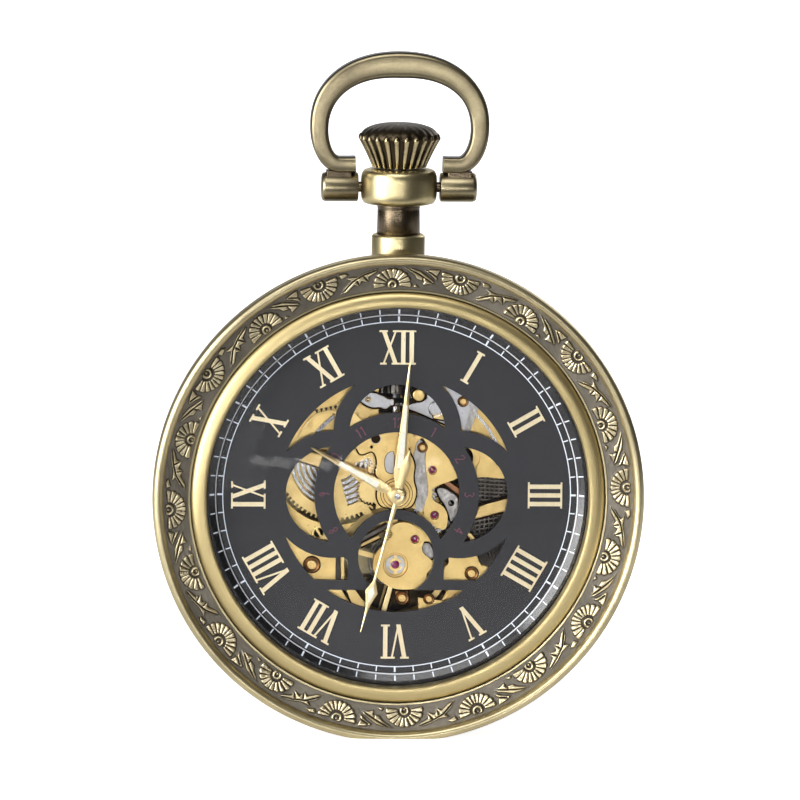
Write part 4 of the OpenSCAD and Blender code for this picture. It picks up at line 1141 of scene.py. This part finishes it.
def dress(name, material, bevel=None, segments=2):
    """Gives a CAD node its finish and, where asked, a small rounding of its edges."""
    obj = nodes[name]
    obj.data.materials.clear()
    obj.data.materials.append(M[material])
    obj.data.shade_smooth()
    obj.data.set_sharp_from_angle(angle=math.radians(32))
    if bevel:
        add_bevel(obj, bevel, segments)


FINISH = {
    "crystal": ("crystal", None), "crystal_gasket": ("rubber", None), "rehaut": ("rehaut", None),
    "bow_pivot_pins": ("bronze", 0.05), "stem": ("steel", 0.05), "winding_pinion": ("dark_steel", 0.04),
    "yoke_spring": ("steel", None), "setting_wheel": ("wheel", 0.02), "setting_idler": ("wheel", 0.02),
    "minute_wheel": ("wheel", 0.02), "cannon_pinion": ("steel", None), "hour_wheel": ("wheel", 0.015),
    "movement_ring": ("holder", None), "movement_screws": ("steel", 0.06),
    "dial": ("dial", 0.045), "dial_numerals": ("numeral", 0.03),
    # The rear bridges take the darkened gilt: painted shade inside the movement.
    "main_plate": ("plate", 0.07), "barrel_bridge": ("shade_gilt", 0.06), "train_bridge": ("shade_gilt", 0.06),
    "balance_cock": ("shade_gilt", 0.06), "pallet_bridge": ("shade_gilt", 0.04), "bridge_screws": ("steel", 0.04),
    "jewels": ("ruby", 0.03), "barrel": ("wheel", None),
    "barrel_arbor": ("steel", 0.05), "ratchet_wheel": ("steel", 0.02),
    "crown_wheel": ("steel", 0.02), "click": ("steel", 0.03), "click_spring": ("steel", None),
    "center_wheel": ("wheel", 0.02), "third_wheel": ("wheel", 0.02), "fourth_wheel": ("wheel", 0.02),
    "escape_wheel": ("steel", 0.015), "pallet_fork": ("steel", 0.03), "balance_wheel": ("wheel", 0.05),
    "balance_staff": ("steel", None), "hairspring": ("blue_steel", None), "regulator": ("steel", 0.03),
}


def dress_all():
    for name, (material, bevel) in FINISH.items():
        dress(name, material, bevel)


# ---------------------------------------------------------------- movement seen through the dial

# Just under the top of main_plate's box. That is the top of its minute post, not the plate's own
# face about 0.5 lower, so the slabs that start here reach higher than their plates should.
DECK = PLATE_H[1] - 0.02
# The capped screws stand above those slabs
CAP_H = 7.97
TRAIN_JEWEL = (7.42, 7.62)


def curved(points, rounds=2):
    """Rounds a closed outline by cutting its corners."""
    for _ in range(rounds):
        out = []
        for i, (xa, ya) in enumerate(points):
            xb, yb = points[(i + 1) % len(points)]
            out += [(xa * 0.78 + xb * 0.22, ya * 0.78 + yb * 0.22),
                    (xa * 0.22 + xb * 0.78, ya * 0.22 + yb * 0.78)]
        points = out
    return points


def grown(outline, by):
    """The outline moved outwards, square to itself."""
    area = sum(xa * yb - xb * ya for (xa, ya), (xb, yb) in zip(outline, outline[1:] + outline[:1]))
    sign = 1 if area > 0 else -1
    out = []
    for i, (x, y) in enumerate(outline):
        xa, ya = outline[i - 1]
        xb, yb = outline[(i + 1) % len(outline)]
        size = max(math.hypot(xb - xa, yb - ya), 1e-6)
        out.append((x + sign * by * (yb - ya) / size, y - sign * by * (xb - xa) / size))
    return out


def slab(name, outline, low, high, material, holes=(), rounds=1, bevel=0.05,
         body="root", replaces=()):
    """A flat piece of the movement, with softened corners and edges over a painted shadow line.

    A thin one has no outline. One whose low is above its high has neither outline nor bevel."""
    outline = curved(outline, rounds) if rounds else outline
    bevel = min(bevel, 0.35 * (high - low)) if bevel else None
    # A slightly larger dark slab under the piece: a painted shadow line round its edges.
    if bevel and high - low > 0.12:
        shade = plate(name + "_edge", grown(outline, 0.15), low, high - 0.07,
                      [grown(hole, -0.06) for hole in holes])
        piece(name + "_edge", shade, "edge", body, (), 30)
    return piece(name, plate(name, outline, low, high, holes), material, body, replaces, 30,
                 bevel, 2)


def screw(name, x, y, r, low, high, slot_turn=30.0, material="steel", seat="well"):
    """A screw in its counterbore: a head in two halves across the slot, a slot floor and a seat."""
    gap = r * 0.13
    lift = (high - low) * 0.45
    halves = []
    for side in (0, 180):
        start = math.degrees(math.asin(gap / r))
        arc = ring_points(0, 0, r, 20, start, 180 - start)
        outline = turned([(px, py) for px, py in arc], slot_turn + side)
        halves.append(plate(name, [(x + px, y + py) for px, py in outline], low, high))
    halves.append(plate(name, ring_points(x, y, r * 0.98, 32), low, high - lift))
    piece(name, joined(name, halves), material, "root", (), 30, 0.035, 2)
    # The seat is dark by default: painted shade in the counterbore.
    ring = [(r + 0.02, low), (r + 0.16, low), (r + 0.16, high - 0.05), (r + 0.05, high - 0.12),
            (r + 0.02, high - 0.12)]
    piece(name + "_seat", dial_lathe(name + "_seat", ring, 48, (x, y)), seat, "root",
          (), 30)


def capped_screw(name, x, y, r, low):
    """A brown countersunk ring round a gilt head with a turned groove and a dimple."""
    dish = [(r * 0.6, low), (r, low), (r, low + 0.1), (r * 0.94, low + 0.14), (r * 0.86, low + 0.13),
            (r * 0.66, low + 0.05), (r * 0.6, low + 0.04)]
    piece(name + "_dish", dial_lathe(name + "_dish", dish, 64, (x, y)), "brown_screw", "root",
          (), 30)
    q = r * 0.58
    head = [(0.0, low), (q, low), (q, low + 0.16), (q * 0.9, low + 0.2), (q * 0.7, low + 0.2),
            (q * 0.62, low + 0.11), (q * 0.42, low + 0.11), (q * 0.36, low + 0.19),
            (q * 0.16, low + 0.19), (q * 0.1, low + 0.13), (0.0, low + 0.13)]
    piece(name + "_head", dial_lathe(name + "_head", head, 64, (x, y), False), "wheel", "root",
          (), 30)
    # A thin dark ring round the dish: a painted shadow line.
    ring = [(r * 1.0, low), (r * 1.12, low), (r * 1.12, low + 0.03), (r * 1.0, low + 0.03)]
    piece(name + "_line", dial_lathe(name + "_line", ring, 64, (x, y)), "edge", "root",
          (), 30)


def jewel(name, x, y, low, high, r=0.34):
    """A ruby with an oil sink, in a thin polished chaton."""
    stone = [(0.1, low), (r, low), (r, high - 0.05), (r - 0.05, high), (r * 0.55, high - 0.015),
             (0.16, high - 0.08), (0.1, high - 0.09)]
    piece(name, dial_lathe(name, stone, 48, (x, y)), "ruby", "root", (), 40)
    chaton = [(r + 0.01, low), (r + 0.09, low), (r + 0.09, high - 0.01), (r + 0.05, high + 0.02),
              (r + 0.01, high - 0.02)]
    piece(name + "_chaton", dial_lathe(name + "_chaton", chaton, 48, (x, y)), "hand", "root",
          (), 40)


def build_keyless():
    """Top window: setting lever, yoke, clutch, and the parts that stand round them."""
    fish = [(-3.7, 9.1), (-3.4, 9.5), (-2.95, 9.7), (-2.2, 9.75), (-1.4, 9.45), (-0.8, 9.05),
            (-0.35, 9.2), (-0.3, 8.55), (-0.65, 8.5), (-1.1, 8.1), (-1.65, 8.35), (-2.3, 8.25),
            (-2.95, 8.5), (-3.45, 8.85)]
    slab("setting_lever_blade", fish, 7.53, 7.73, "pale_steel",
         [ring_points(*AT_LEVER, 0.27, 24)], 1, 0.05, "setting_lever", ["setting_lever"])
    screw("lever_post", *AT_LEVER, 0.2, 7.6, 7.78, 20, "dark_steel")
    yoke = [(1.05, 8.5), (1.65, 8.75), (2.8, 9.05), (2.85, 9.7), (2.5, 10.25), (3.5, 9.9),
            (4.3, 8.9), (4.9, 6.6), (3.35, 7.25), (1.85, 7.9), (1.05, 8.15)]
    slab("yoke_plate", yoke, 7.5, 7.68, "pale_steel", [ring_points(*AT_YOKE, 0.3, 24)], 1,
         0.05, "yoke", ["yoke"])
    screw("yoke_cap", AT_YOKE[0] + 0.05, AT_YOKE[1], 0.6, 7.72, 7.95, 75, "pale_steel", "steel")
    slab("keyless_post", ring_points(2.05, 9.55, 0.62, 9), 7.7, 7.98, "plate", rounds=1, bevel=0.1)
    slab("keyless_bar", [(-4.2, 8.25), (-3.75, 8.8), (-2.5, 8.05), (-2.95, 7.2)], DECK, 7.45,
         "bridge", rounds=0, bevel=0.06)
    slab("keyless_foot", [(-4.95, 7.3), (-4.4, 8.1), (-3.3, 7.0), (-4.2, 6.2)], DECK, 7.46, "wheel",
         rounds=0)
    slab("yoke_ledge", [(3.3, 7.9), (4.5, 7.7), (4.75, 7.1), (3.5, 7.3)], 7.74, 7.86, "bridge",
         rounds=0)
    z0, z1 = span("clutch", 2)
    bell = [(0.53, z0), (1.36, z0), (1.42, z0 + 0.1), (1.38, z0 + 0.34), (1.02, z0 + 0.52),
            (0.82, z0 + 0.72), (0.74, z1 - 0.12), (0.8, z1), (0.53, z1)]
    ridges = lambda a, z, r: 1 - (0.06 if z < z0 + 0.4 and math.cos(16 * a) < -0.2 and r > 0.9 else 0)
    piece("clutch_bell", stem_lathe("clutch_bell", bell, 128, ridges), "grey_steel", "clutch",
          ["clutch"], 30)


def build_dial_side():
    """Middle and lower windows: cover, bridges, jewels and the shock setting."""
    low, high = heights("keyless_cover")
    cover = [(-4.25, 4.3), (-3.7, 4.95), (-2.95, 5.6), (-1.65, 6.2), (0.0, 6.4), (1.6, 6.2),
             (1.2, 5.45), (1.05, 4.3), (1.75, 2.95), (1.55, 1.45), (1.95, 0.15), (1.6, -1.05),
             (0.95, -1.4), (-0.55, -1.4), (-1.55, -1.15), (-1.95, -0.2), (-1.6, 1.3), (-2.1, 1.95),
             (-1.85, 2.95), (-2.05, 3.85), (-2.45, 4.2), (-3.2, 3.85), (-3.6, 3.85), (-3.95, 4.6)]
    recess = [(-0.2, 4.15), (-0.8, 4.1), (-1.2, 3.55), (-1.2, 2.6), (-1.0, 2.05), (-0.2, 1.85)]
    notch = ring_points(-2.05, 5.35, 0.5, 24)
    slab("keyless_cover_plate", cover, low, high, "plate",
         [curved(recess, 1), notch, ring_points(0, 0, 0.72, 40), ring_points(-2.45, 4.55, 0.17, 16)],
         2, 0.045, "root", ["keyless_cover"])
    slab("cover_recess_floor", [(-1.35, 4.3), (-0.1, 4.3), (-0.1, 1.7), (-1.35, 1.7)], low - 0.04,
         low - 0.01, "pale_steel", rounds=0, bevel=None)
    slab("cover_notch_floor", ring_points(-2.05, 5.35, 0.55, 24), low - 0.04, low - 0.01,
         "pale_steel", rounds=0, bevel=None)
    rim = [(1.02, high - 0.03), (1.12, high - 0.03), (1.12, high + 0.03), (1.02, high + 0.03)]
    piece("cover_ring", dial_lathe("cover_ring", rim, 96), "wheel", "root", (), 30)
    # Two thin dark rings on the cover: painted shade of turned lines.
    for k, r in enumerate((1.24, 1.5)):
        line = [(r, high - 0.02), (r + 0.06, high - 0.02), (r + 0.06, high + 0.008),
                (r, high + 0.008)]
        piece(f"cover_line_{k}", dial_lathe(f"cover_line_{k}", line, 96), "edge", "root",
              (), 30)
    strip = [(1.6, 3.5), (1.85, 4.85), (2.35, 5.5), (2.85, 5.0), (2.65, 3.55), (2.8, 2.2),
             (3.1, 0.2), (2.75, -0.95), (2.45, -1.8), (1.8, -1.6), (2.0, 0.05), (1.6, 1.4)]
    slab("silver_strip", strip, DECK, 7.52, "frosted_silver", rounds=2, bevel=0.04)
    right = [(1.55, 5.75), (3.1, 5.5), (4.55, 4.25), (5.4, 2.6), (6.0, 1.5), (4.6, 1.05),
             (3.65, 0.65), (3.3, 0.15), (3.5, -0.65), (4.5, -1.15), (5.05, -2.1), (4.8, -3.6),
             (3.8, -3.25), (2.6, -2.3), (2.75, -0.9), (3.15, 0.25), (2.85, 2.25), (2.75, 3.6),
             (2.9, 4.6), (2.25, 5.3), (1.75, 5.0)]
    slab("right_bridge", right, DECK, 7.64, "plate",
         [ring_points(*AT_THIRD, 0.45, 32), ring_points(*AT_ESCAPE, 0.45, 32)],
         2, 0.05)
    jewel("third_jewel", *AT_THIRD, *TRAIN_JEWEL)
    jewel("escape_jewel", *AT_ESCAPE, *TRAIN_JEWEL)
    capped_screw("right_bridge_screw", 2.45, 4.5, 0.46, CAP_H)
    lobe = [(-0.6, -3.35), (0.05, -2.85), (1.0, -2.75), (1.8, -3.1), (2.55, -3.6), (2.9, -4.35),
            (2.5, -5.1), (2.6, -5.8), (3.6, -6.5), (3.5, -7.2), (2.95, -7.8), (3.05, -8.45),
            (2.2, -9.25), (0.25, -9.35), (-0.85, -8.95), (-1.65, -8.15), (-1.8, -7.15),
            (-1.4, -5.8), (-1.05, -4.8), (-0.2, -4.05)]
    slab("balance_lobe", lobe, DECK, 7.64, "plate",
         [ring_points(*AT_BALANCE, 1.22, 64), ring_points(*AT_PALLET, 0.45, 32)], 2, 0.05)
    jewel("pallet_jewel", *AT_PALLET, *TRAIN_JEWEL)
    for k, (x, y) in enumerate(((0.52, -5.2), (1.3, -5.8))):
        dot = [(0.0, 7.6), (0.2, 7.6), (0.24, 7.66), (0.17, 7.68), (0.13, 7.655), (0.0, 7.655)]
        piece(f"lobe_pin_{k}", dial_lathe(f"lobe_pin_{k}", dot, 36, (x, y), False), "wheel", "root",
              (), 40)
    build_shock_setting()
    slab("pallet_cover", [(2.6, -4.85), (3.3, -4.85), (3.65, -5.6), (3.65, -6.45), (2.8, -6.3),
                          (2.55, -5.6)], 7.3, 7.5, "frosted_silver", rounds=2, bevel=0.04)
    slab("train_lever", [(3.85, 0.45), (4.6, 0.5), (5.45, 0.0), (6.05, -0.5), (5.95, -1.85),
                         (5.35, -3.0), (5.1, -2.1), (4.75, -1.2), (4.2, -0.5)], 7.1, 7.25,
         "frosted_silver", [ring_points(5.35, -1.0, 0.3, 20)], 2, 0.05)
    slab("copper_bar", [(4.5, 1.0), (4.9, 1.25), (6.1, 0.45), (6.1, -0.2)], 7.3, 7.45, "copper",
         rounds=0)
    slab("lobe_bar_a", [(-3.3, -4.75), (-3.05, -4.2), (-0.85, -3.0), (-0.65, -3.3)], 7.2, 7.42,
         "dark_steel", rounds=0)
    slab("lobe_bar_b", [(-3.35, -5.25), (-3.25, -4.9), (-1.6, -4.05), (-1.45, -4.35)], 7.2, 7.5,
         "bridge", rounds=0)
    for k in range(5):
        y = -3.7 - 0.2 * k
        slab(f"pallet_comb_{k}", [(-1.05, y), (-0.35, y + 0.1), (-0.35, y + 0.2), (-1.05, y + 0.1)],
             7.2, 7.5, "wheel", rounds=0, bevel=0.02)


def toothed(x, y, r, teeth, tall, phase=0.0):
    """Outline of a wheel with pointed, round-topped teeth."""
    out = []
    for k in range(teeth):
        for part, reach in ((0.0, 0), (0.22, 0), (0.36, 0.8), (0.5, 1), (0.64, 0.8), (0.78, 0)):
            a = 2 * math.pi * (k + part + phase) / teeth
            q = r - tall * (1 - reach)
            out.append((x + q * math.cos(a), y + q * math.sin(a)))
    return out


def build_spring():
    """The mainspring's coils: a broad polished strip wound from the arbor to the wall."""
    low, high = heights("mainspring")
    x, y = AT_BARREL
    turns, per = 6, 72
    inner, pitch, half = 1.5, 0.49, 0.16
    section = [(-half, low), (half, low), (half, high - 0.08), (half * 0.6, high - 0.01),
               (-half * 0.6, high - 0.01), (-half, high - 0.08)]
    points, faces = [], []
    count = turns * per
    for i in range(count + 1):
        a = 2 * math.pi * i / per
        q = inner + pitch * i / per
        for u, h in section:
            points.append(watch(x + (q + u) * math.cos(a), y + (q + u) * math.sin(a), h))
    m = len(section)
    for i in range(count):
        for j in range(m):
            k = (j + 1) % m
            faces.append((i * m + j, i * m + k, (i + 1) * m + k, (i + 1) * m + j))
    faces.append(tuple(range(m - 1, -1, -1)))
    faces.append(tuple(count * m + j for j in range(m)))
    piece("mainspring_coils", tidy(from_pydata("mainspring_coils", points, faces)), "spring",
          "barrel", ["mainspring"], 30)
    slab("seconds_gear", toothed(-2.3, 0.3, 1.45, 26, 0.2), 7.1, 7.36, "wheel", rounds=0, bevel=0.02)
    slab("corner_gear", toothed(-4.9, 7.9, 1.2, 22, 0.18), 7.42, 7.58, "wheel", rounds=0, bevel=0.02)


def build_shock_setting():
    """Sprung jewel of the balance: a ring, the two horns of its lyre spring and a domed stone."""
    x, y = AT_BALANCE
    ring = [(0.98, 7.3), (1.2, 7.3), (1.2, 7.62), (1.14, 7.68), (1.04, 7.68), (0.98, 7.6)]
    piece("shock_ring", dial_lathe("shock_ring", ring, 96, (x, y)), "wheel", "root",
          ["shock_setting"], 35)
    floor = [(0.0, 7.3), (0.99, 7.3), (0.99, 7.46), (0.0, 7.46)]
    piece("shock_floor", dial_lathe("shock_floor", floor, 72, (x, y), False), "wheel", "root",
          ["shock_setting"], 30)
    for k, (a0, a1) in enumerate(((100, 258), (-78, 80))):
        horn = ring_points(x, y, 0.92, 22, a0, a1) + ring_points(x, y, 0.66, 22, a1, a0)
        slab(f"shock_lyre_{k}", horn, 7.47, 7.56, "pale_steel", rounds=0, bevel=0.03,
             replaces=["shock_setting"])
        mid = math.radians((a0 + a1) / 2)
        tab = [(x + r * math.cos(mid + t), y + r * math.sin(mid + t))
               for r, t in ((0.7, -0.3), (0.7, 0.3), (0.4, 0.35), (0.4, -0.35))]
        slab(f"shock_tab_{k}", tab, 7.47, 7.56, "pale_steel", rounds=0, bevel=0.03,
             replaces=["shock_setting"])
    stone = [(0.0, 7.4), (0.4, 7.4), (0.4, 7.52), (0.36, 7.57), (0.24, 7.62), (0.1, 7.64),
             (0.0, 7.645)]
    piece("balance_cap_jewel", dial_lathe("balance_cap_jewel", stone, 48, (x, y), False), "ruby",
          "root", ["shock_setting"], 40)


def build_left_windows():
    # Upper left: the plate's stamped teeth, dark slabs of painted shade, a groove and the grey ledge
    # below it
    for k in range(5):
        x, y = -7.75 + 0.45 * k, 7.92 + 0.1 * k
        slab(f"plate_tooth_{k}", [(x - 0.13, y + 0.12), (x + 0.15, y + 0.16), (x + 0.04, y - 0.24)],
             DECK, 7.46, "well", rounds=0, bevel=None)
    ridge = [(-6.1, 8.15), (-7.7, 7.85), (-8.65, 6.95), (-9.2, 6.1), (-9.55, 5.4), (-9.3, 5.35),
             (-8.95, 6.0), (-8.45, 6.8), (-7.6, 7.6), (-6.1, 7.85)]
    slab("groove_ridge", ridge, DECK, 7.56, "bridge", rounds=1, bevel=0.06)
    ledge = ring_points(0, 0, 10.7, 16, 152, 128) + ring_points(0, 0, 10.35, 16, 128, 152)
    slab("barrel_ledge", [(x * 0.97 + 0.2, y * 0.97 - 0.6) for x, y in ledge], DECK, 7.5,
         "grey_steel", rounds=0, bevel=0.04)
    # Nine o'clock: a block that bridges the barrel, and a brown post beside its teeth
    slab("barrel_bar", [(-9.6, 3.2), (-8.9, 4.2), (-7.05, 3.7), (-7.45, 2.5)], 7.3, 7.75, "bridge",
         rounds=0, bevel=0.08)
    screw("barrel_post", -7.4, -3.9, 0.5, 6.9, 7.4, 60, "copper", "well")
    # Lower left: a raised plate with its screw, a gap shown by a dark slab of painted shade, and a strip
    corner = [(-10.8, -4.0), (-8.1, -5.5), (-5.7, -5.95), (-5.75, -8.6), (-8.1, -8.6), (-9.5, -7.0)]
    slab("lower_left_plate", corner, DECK, 7.75, "plate", (), 0, 0.07)
    capped_screw("lower_left_screw", -8.05, -6.9, 0.76, CAP_H)
    slab("lower_left_strip", [(-5.4, -5.95), (-4.95, -5.95), (-4.95, -8.6), (-5.3, -8.6)], DECK,
         7.75, "bridge", rounds=0, bevel=0.06)
    slab("lower_left_gap", [(-5.75, -5.8), (-5.3, -5.8), (-5.2, -8.7), (-5.8, -8.7)], DECK, 7.43,
         "well", rounds=0, bevel=None)


def build_right_windows():
    # Upper right: a silver plate with its screw, a pale band and the gold plate
    slab("silver_corner", [(4.15, 10.85), (5.25, 10.3), (7.2, 9.0), (6.4, 6.0), (5.85, 7.95),
                           (5.1, 9.6)], DECK, 7.9, "pale_steel", (), 0, 0.06)
    capped_screw("silver_corner_screw", 6.3, 8.95, 0.48, 7.89)
    slab("pale_band", [(7.2, 9.0), (7.9, 8.55), (7.0, 6.0), (6.4, 6.0)], DECK, 7.7,
         "frosted_silver", rounds=0, bevel=0.05)
    # Three o'clock: a notched plate, a woven dark pad, and a gold bar
    notched = [(6.6, 4.75), (7.5, 4.85), (8.25, 4.1), (9.1, 3.75), (9.35, 2.95), (10.2, 2.45),
               (10.9, 1.4), (7.7, 1.75), (7.65, 2.6), (8.05, 3.25), (7.9, 4.1), (7.35, 4.5),
               (6.75, 4.4)]
    slab("notched_plate", notched, DECK, 7.7, "plate", (), 2, 0.06)
    bars = []
    for k in range(8):
        y = 1.35 - 0.38 * k
        bars.append(plate("weave", [(7.4, y), (11.2, y - 0.25), (11.2, y - 0.47), (7.4, y - 0.22)],
                          6.2, 6.5 + 0.04 * (k % 2)))
    for k in range(8):
        x = 7.7 + 0.44 * k
        bars.append(plate("weave", [(x, 1.4), (x + 0.2, 1.4), (x + 0.1, -4.6), (x - 0.1, -4.6)],
                          6.2, 6.46))
    for k in range(9):
        y = -2.3 - 0.42 * k
        bars.append(plate("weave", [(6.6, y), (11.0, y + 0.7), (11.0, y + 0.9), (6.6, y + 0.22)],
                          6.2, 6.5))
    piece("woven_pad", joined("woven_pad", bars), "dark_steel", "root", (), 30, 0.03, 1)
    slab("gold_bar", [(7.95, -1.2), (11.1, -0.35), (11.1, -1.55), (7.5, -2.5)], 6.9, 7.8, "bridge",
         rounds=0, bevel=0.1)
    slab("small_tongue", [(6.6, -3.6), (7.2, -4.5), (7.9, -4.6), (7.3, -3.9)], 6.9, 7.6, "wheel",
         rounds=0)
    # Lower right: a block with its dark bore and a knurled pad
    block = [(5.1, -6.1), (7.75, -5.8), (8.05, -6.75), (9.15, -7.1), (8.6, -7.85), (8.0, -8.6),
             (4.5, -8.6), (4.7, -7.1), (5.15, -6.8)]
    slab("lower_right_block", block, DECK, 7.75, "plate", (), 1, 0.07)
    capped_screw("lower_right_screw", 7.35, -7.7, 0.62, CAP_H)
    slab("lower_right_post", ring_points(8.6, -6.9, 0.42, 12), 7.5, 7.85, "copper", rounds=1,
         bevel=0.08)
    ribs = []
    for k in range(11):
        x, y = 7.85 + 0.28 * k, -6.0 + 0.15 * k
        ribs.append(plate("rib", [(x, y), (x + 0.15, y + 0.07), (x + 0.55, y - 0.95),
                                  (x + 0.4, y - 1.02)], DECK, 7.66))
    piece("knurled_pad", joined("knurled_pad", ribs), "dark_steel", "root", (), 30, 0.03, 1)
    # A dark floor under the knurled pad: painted shade.
    slab("knurled_floor", [(7.8, -5.8), (11.0, -4.1), (11.2, -5.2), (9.2, -7.2), (8.2, -6.9)], DECK,
         7.45, "well", rounds=0, bevel=None)


def build_bottom():
    """Below the bar of the dial."""
    slab("bottom_left_plate", [(-6.8, -8.9), (-5.3, -8.9), (-4.6, -10.8), (-5.5, -10.9)], DECK,
         7.75, "plate", (), 0, 0.06)
    slab("bottom_left_strip", [(-4.9, -8.9), (-4.2, -8.9), (-2.9, -10.7), (-3.1, -11.5),
                               (-4.2, -10.6)], DECK, 7.6, "bridge", rounds=0, bevel=0.06)
    slab("slanted_bar", [(-1.4, -11.7), (-0.6, -8.9), (-0.15, -8.9), (-0.85, -11.7)], 7.2, 7.6,
         "hand", rounds=0, bevel=0.05)
    slab("bottom_block", [(0.05, -9.5), (1.25, -9.5), (1.4, -10.7), (0.1, -10.7)], 7.1, 7.5,
         "brown_screw", (), 0, 0.08)
    capped_screw("bottom_block_screw", 0.7, -10.2, 0.62, 7.49)
    slab("bottom_right_plate", [(1.7, -8.9), (6.9, -8.9), (6.1, -10.25), (3.9, -11.4),
                                (2.3, -11.7), (2.2, -10.1)], DECK, 7.75, "plate",
         [ring_points(5.55, -10.15, 0.36, 24)], 0, 0.06)
    capped_screw("bottom_right_screw", 3.25, -10.2, 0.5, CAP_H)


# ---------------------------------------------------------------- camera, floor and light

def build_stage():
    """A pale floor that curves up into a backdrop."""
    points, faces = [], []
    floor_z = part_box("back_cover")[0].z - 0.0006
    half, radius = 0.3, 0.35
    back = 0.75
    profile = [(-0.085, floor_z), (back - radius, floor_z)]
    profile += [(back - radius + radius * math.sin(math.radians(a)),
                 floor_z + radius - radius * math.cos(math.radians(a))) for a in range(6, 91, 6)]
    profile += [(back, 1.8)]
    for y, z in profile:
        for x in (-half, half):
            points.append((x, y, z))
    for i in range(len(profile) - 1):
        faces.append((2 * i, 2 * i + 1, 2 * i + 3, 2 * i + 2))
    mesh = from_pydata("floor", points, faces)
    mesh.shade_smooth()
    mat, tree, shader = new_material("pale_floor")
    n = Nodes(tree)
    soft = n.noise(n.place(), 6.0, 3.0, 0.5)
    n.put(shader.inputs["Base Color"], n.mix(n.ramp(soft, 0.3, 0.7), (0.90, 0.90, 0.90),
                                             (0.87, 0.87, 0.88)))
    shader.inputs["Roughness"].default_value = 0.85
    shader.inputs["Specular IOR Level"].default_value = 0.1
    shader.inputs["Emission Color"].default_value = (1, 1, 1, 1)
    seen = n.add("ShaderNodeLightPath").outputs["Is Camera Ray"]
    n.put(shader.inputs["Emission Strength"], n.ramp(seen, 0.0, 1.0, 0.15, 0.85))
    mesh.materials.append(mat)
    obj = bpy.data.objects.new("floor", mesh)
    bpy.context.scene.collection.objects.link(obj)


def area_light(name, place, target, size, energy, colour=(1, 1, 1), shape=None):
    data = bpy.data.lights.new(name, "AREA")
    data.energy = energy
    data.color = colour
    data.shape = "RECTANGLE" if shape else "SQUARE"
    data.size = size
    if shape:
        data.size_y = shape
    obj = bpy.data.objects.new(name, data)
    bpy.context.scene.collection.objects.link(obj)
    obj.location = place
    obj.rotation_euler = (Vector(target) - Vector(place)).to_track_quat("-Z", "Y").to_euler()
    return obj


AIM = Vector((0.00017, -0.009, 0.00922))


def build_light():
    world = bpy.data.worlds.new("studio")
    world.use_nodes = True
    background = world.node_tree.nodes["Background"]
    background.inputs[0].default_value = (1, 1, 1, 1)
    seen = world.node_tree.nodes.new("ShaderNodeLightPath").outputs["Is Camera Ray"]
    level = world.node_tree.nodes.new("ShaderNodeMapRange")
    world.node_tree.links.new(seen, level.inputs["Value"])
    level.inputs["To Min"].default_value = 0.06
    level.inputs["To Max"].default_value = 1.0
    world.node_tree.links.new(level.outputs["Result"], background.inputs[1])
    bpy.context.scene.world = world
    area_light("key", (-0.75, -0.42, 0.16), AIM, 0.5, 10.5, shape=0.8)
    area_light("front", (-0.5, -0.74, 0.14), AIM, 0.3, 2.0, shape=0.5)
    area_light("top", (-0.12, -0.42, 0.62), AIM, 0.6, 2.4, shape=0.35)
    area_light("back", (0.55, 0.6, 0.35), AIM, 0.45, 1.6)
    area_light("low", (-0.1, -0.7, -0.012), AIM, 0.5, 0.85, shape=0.02)
    scene = bpy.context.scene
    scene.view_settings.view_transform = "Standard"
    scene.view_settings.exposure = 0.0


LENS = 329.2
CAMERA_DISTANCE = 0.7
ELEVATION = math.radians(7.5)
AZIMUTH = math.radians(-3.5)
ROLL = math.radians(0.7)


def build_camera():
    data = bpy.data.cameras.new("camera")
    data.sensor_width = 36
    data.lens = LENS
    data.clip_start = 0.01
    data.clip_end = 20
    camera = bpy.data.objects.new("camera", data)
    bpy.context.scene.collection.objects.link(camera)
    back = Vector((math.sin(AZIMUTH) * math.cos(ELEVATION), -math.cos(AZIMUTH) * math.cos(ELEVATION),
                   math.sin(ELEVATION)))
    camera.location = AIM + back * CAMERA_DISTANCE
    look = (-back).to_track_quat("-Z", "Y").to_matrix()
    camera.rotation_euler = (look @ Matrix.Rotation(ROLL, 3, "Z")).to_euler()
    bpy.context.scene.camera = camera


dress_all()
build_case()
build_bezel()
build_crystal_ring()
build_track()
build_inner_numerals()
build_hands()
build_pendant()
build_crown()
build_bow()
build_keyless()
build_dial_side()
build_spring()
build_left_windows()
build_right_windows()
build_bottom()
build_stage()
build_light()
build_camera()
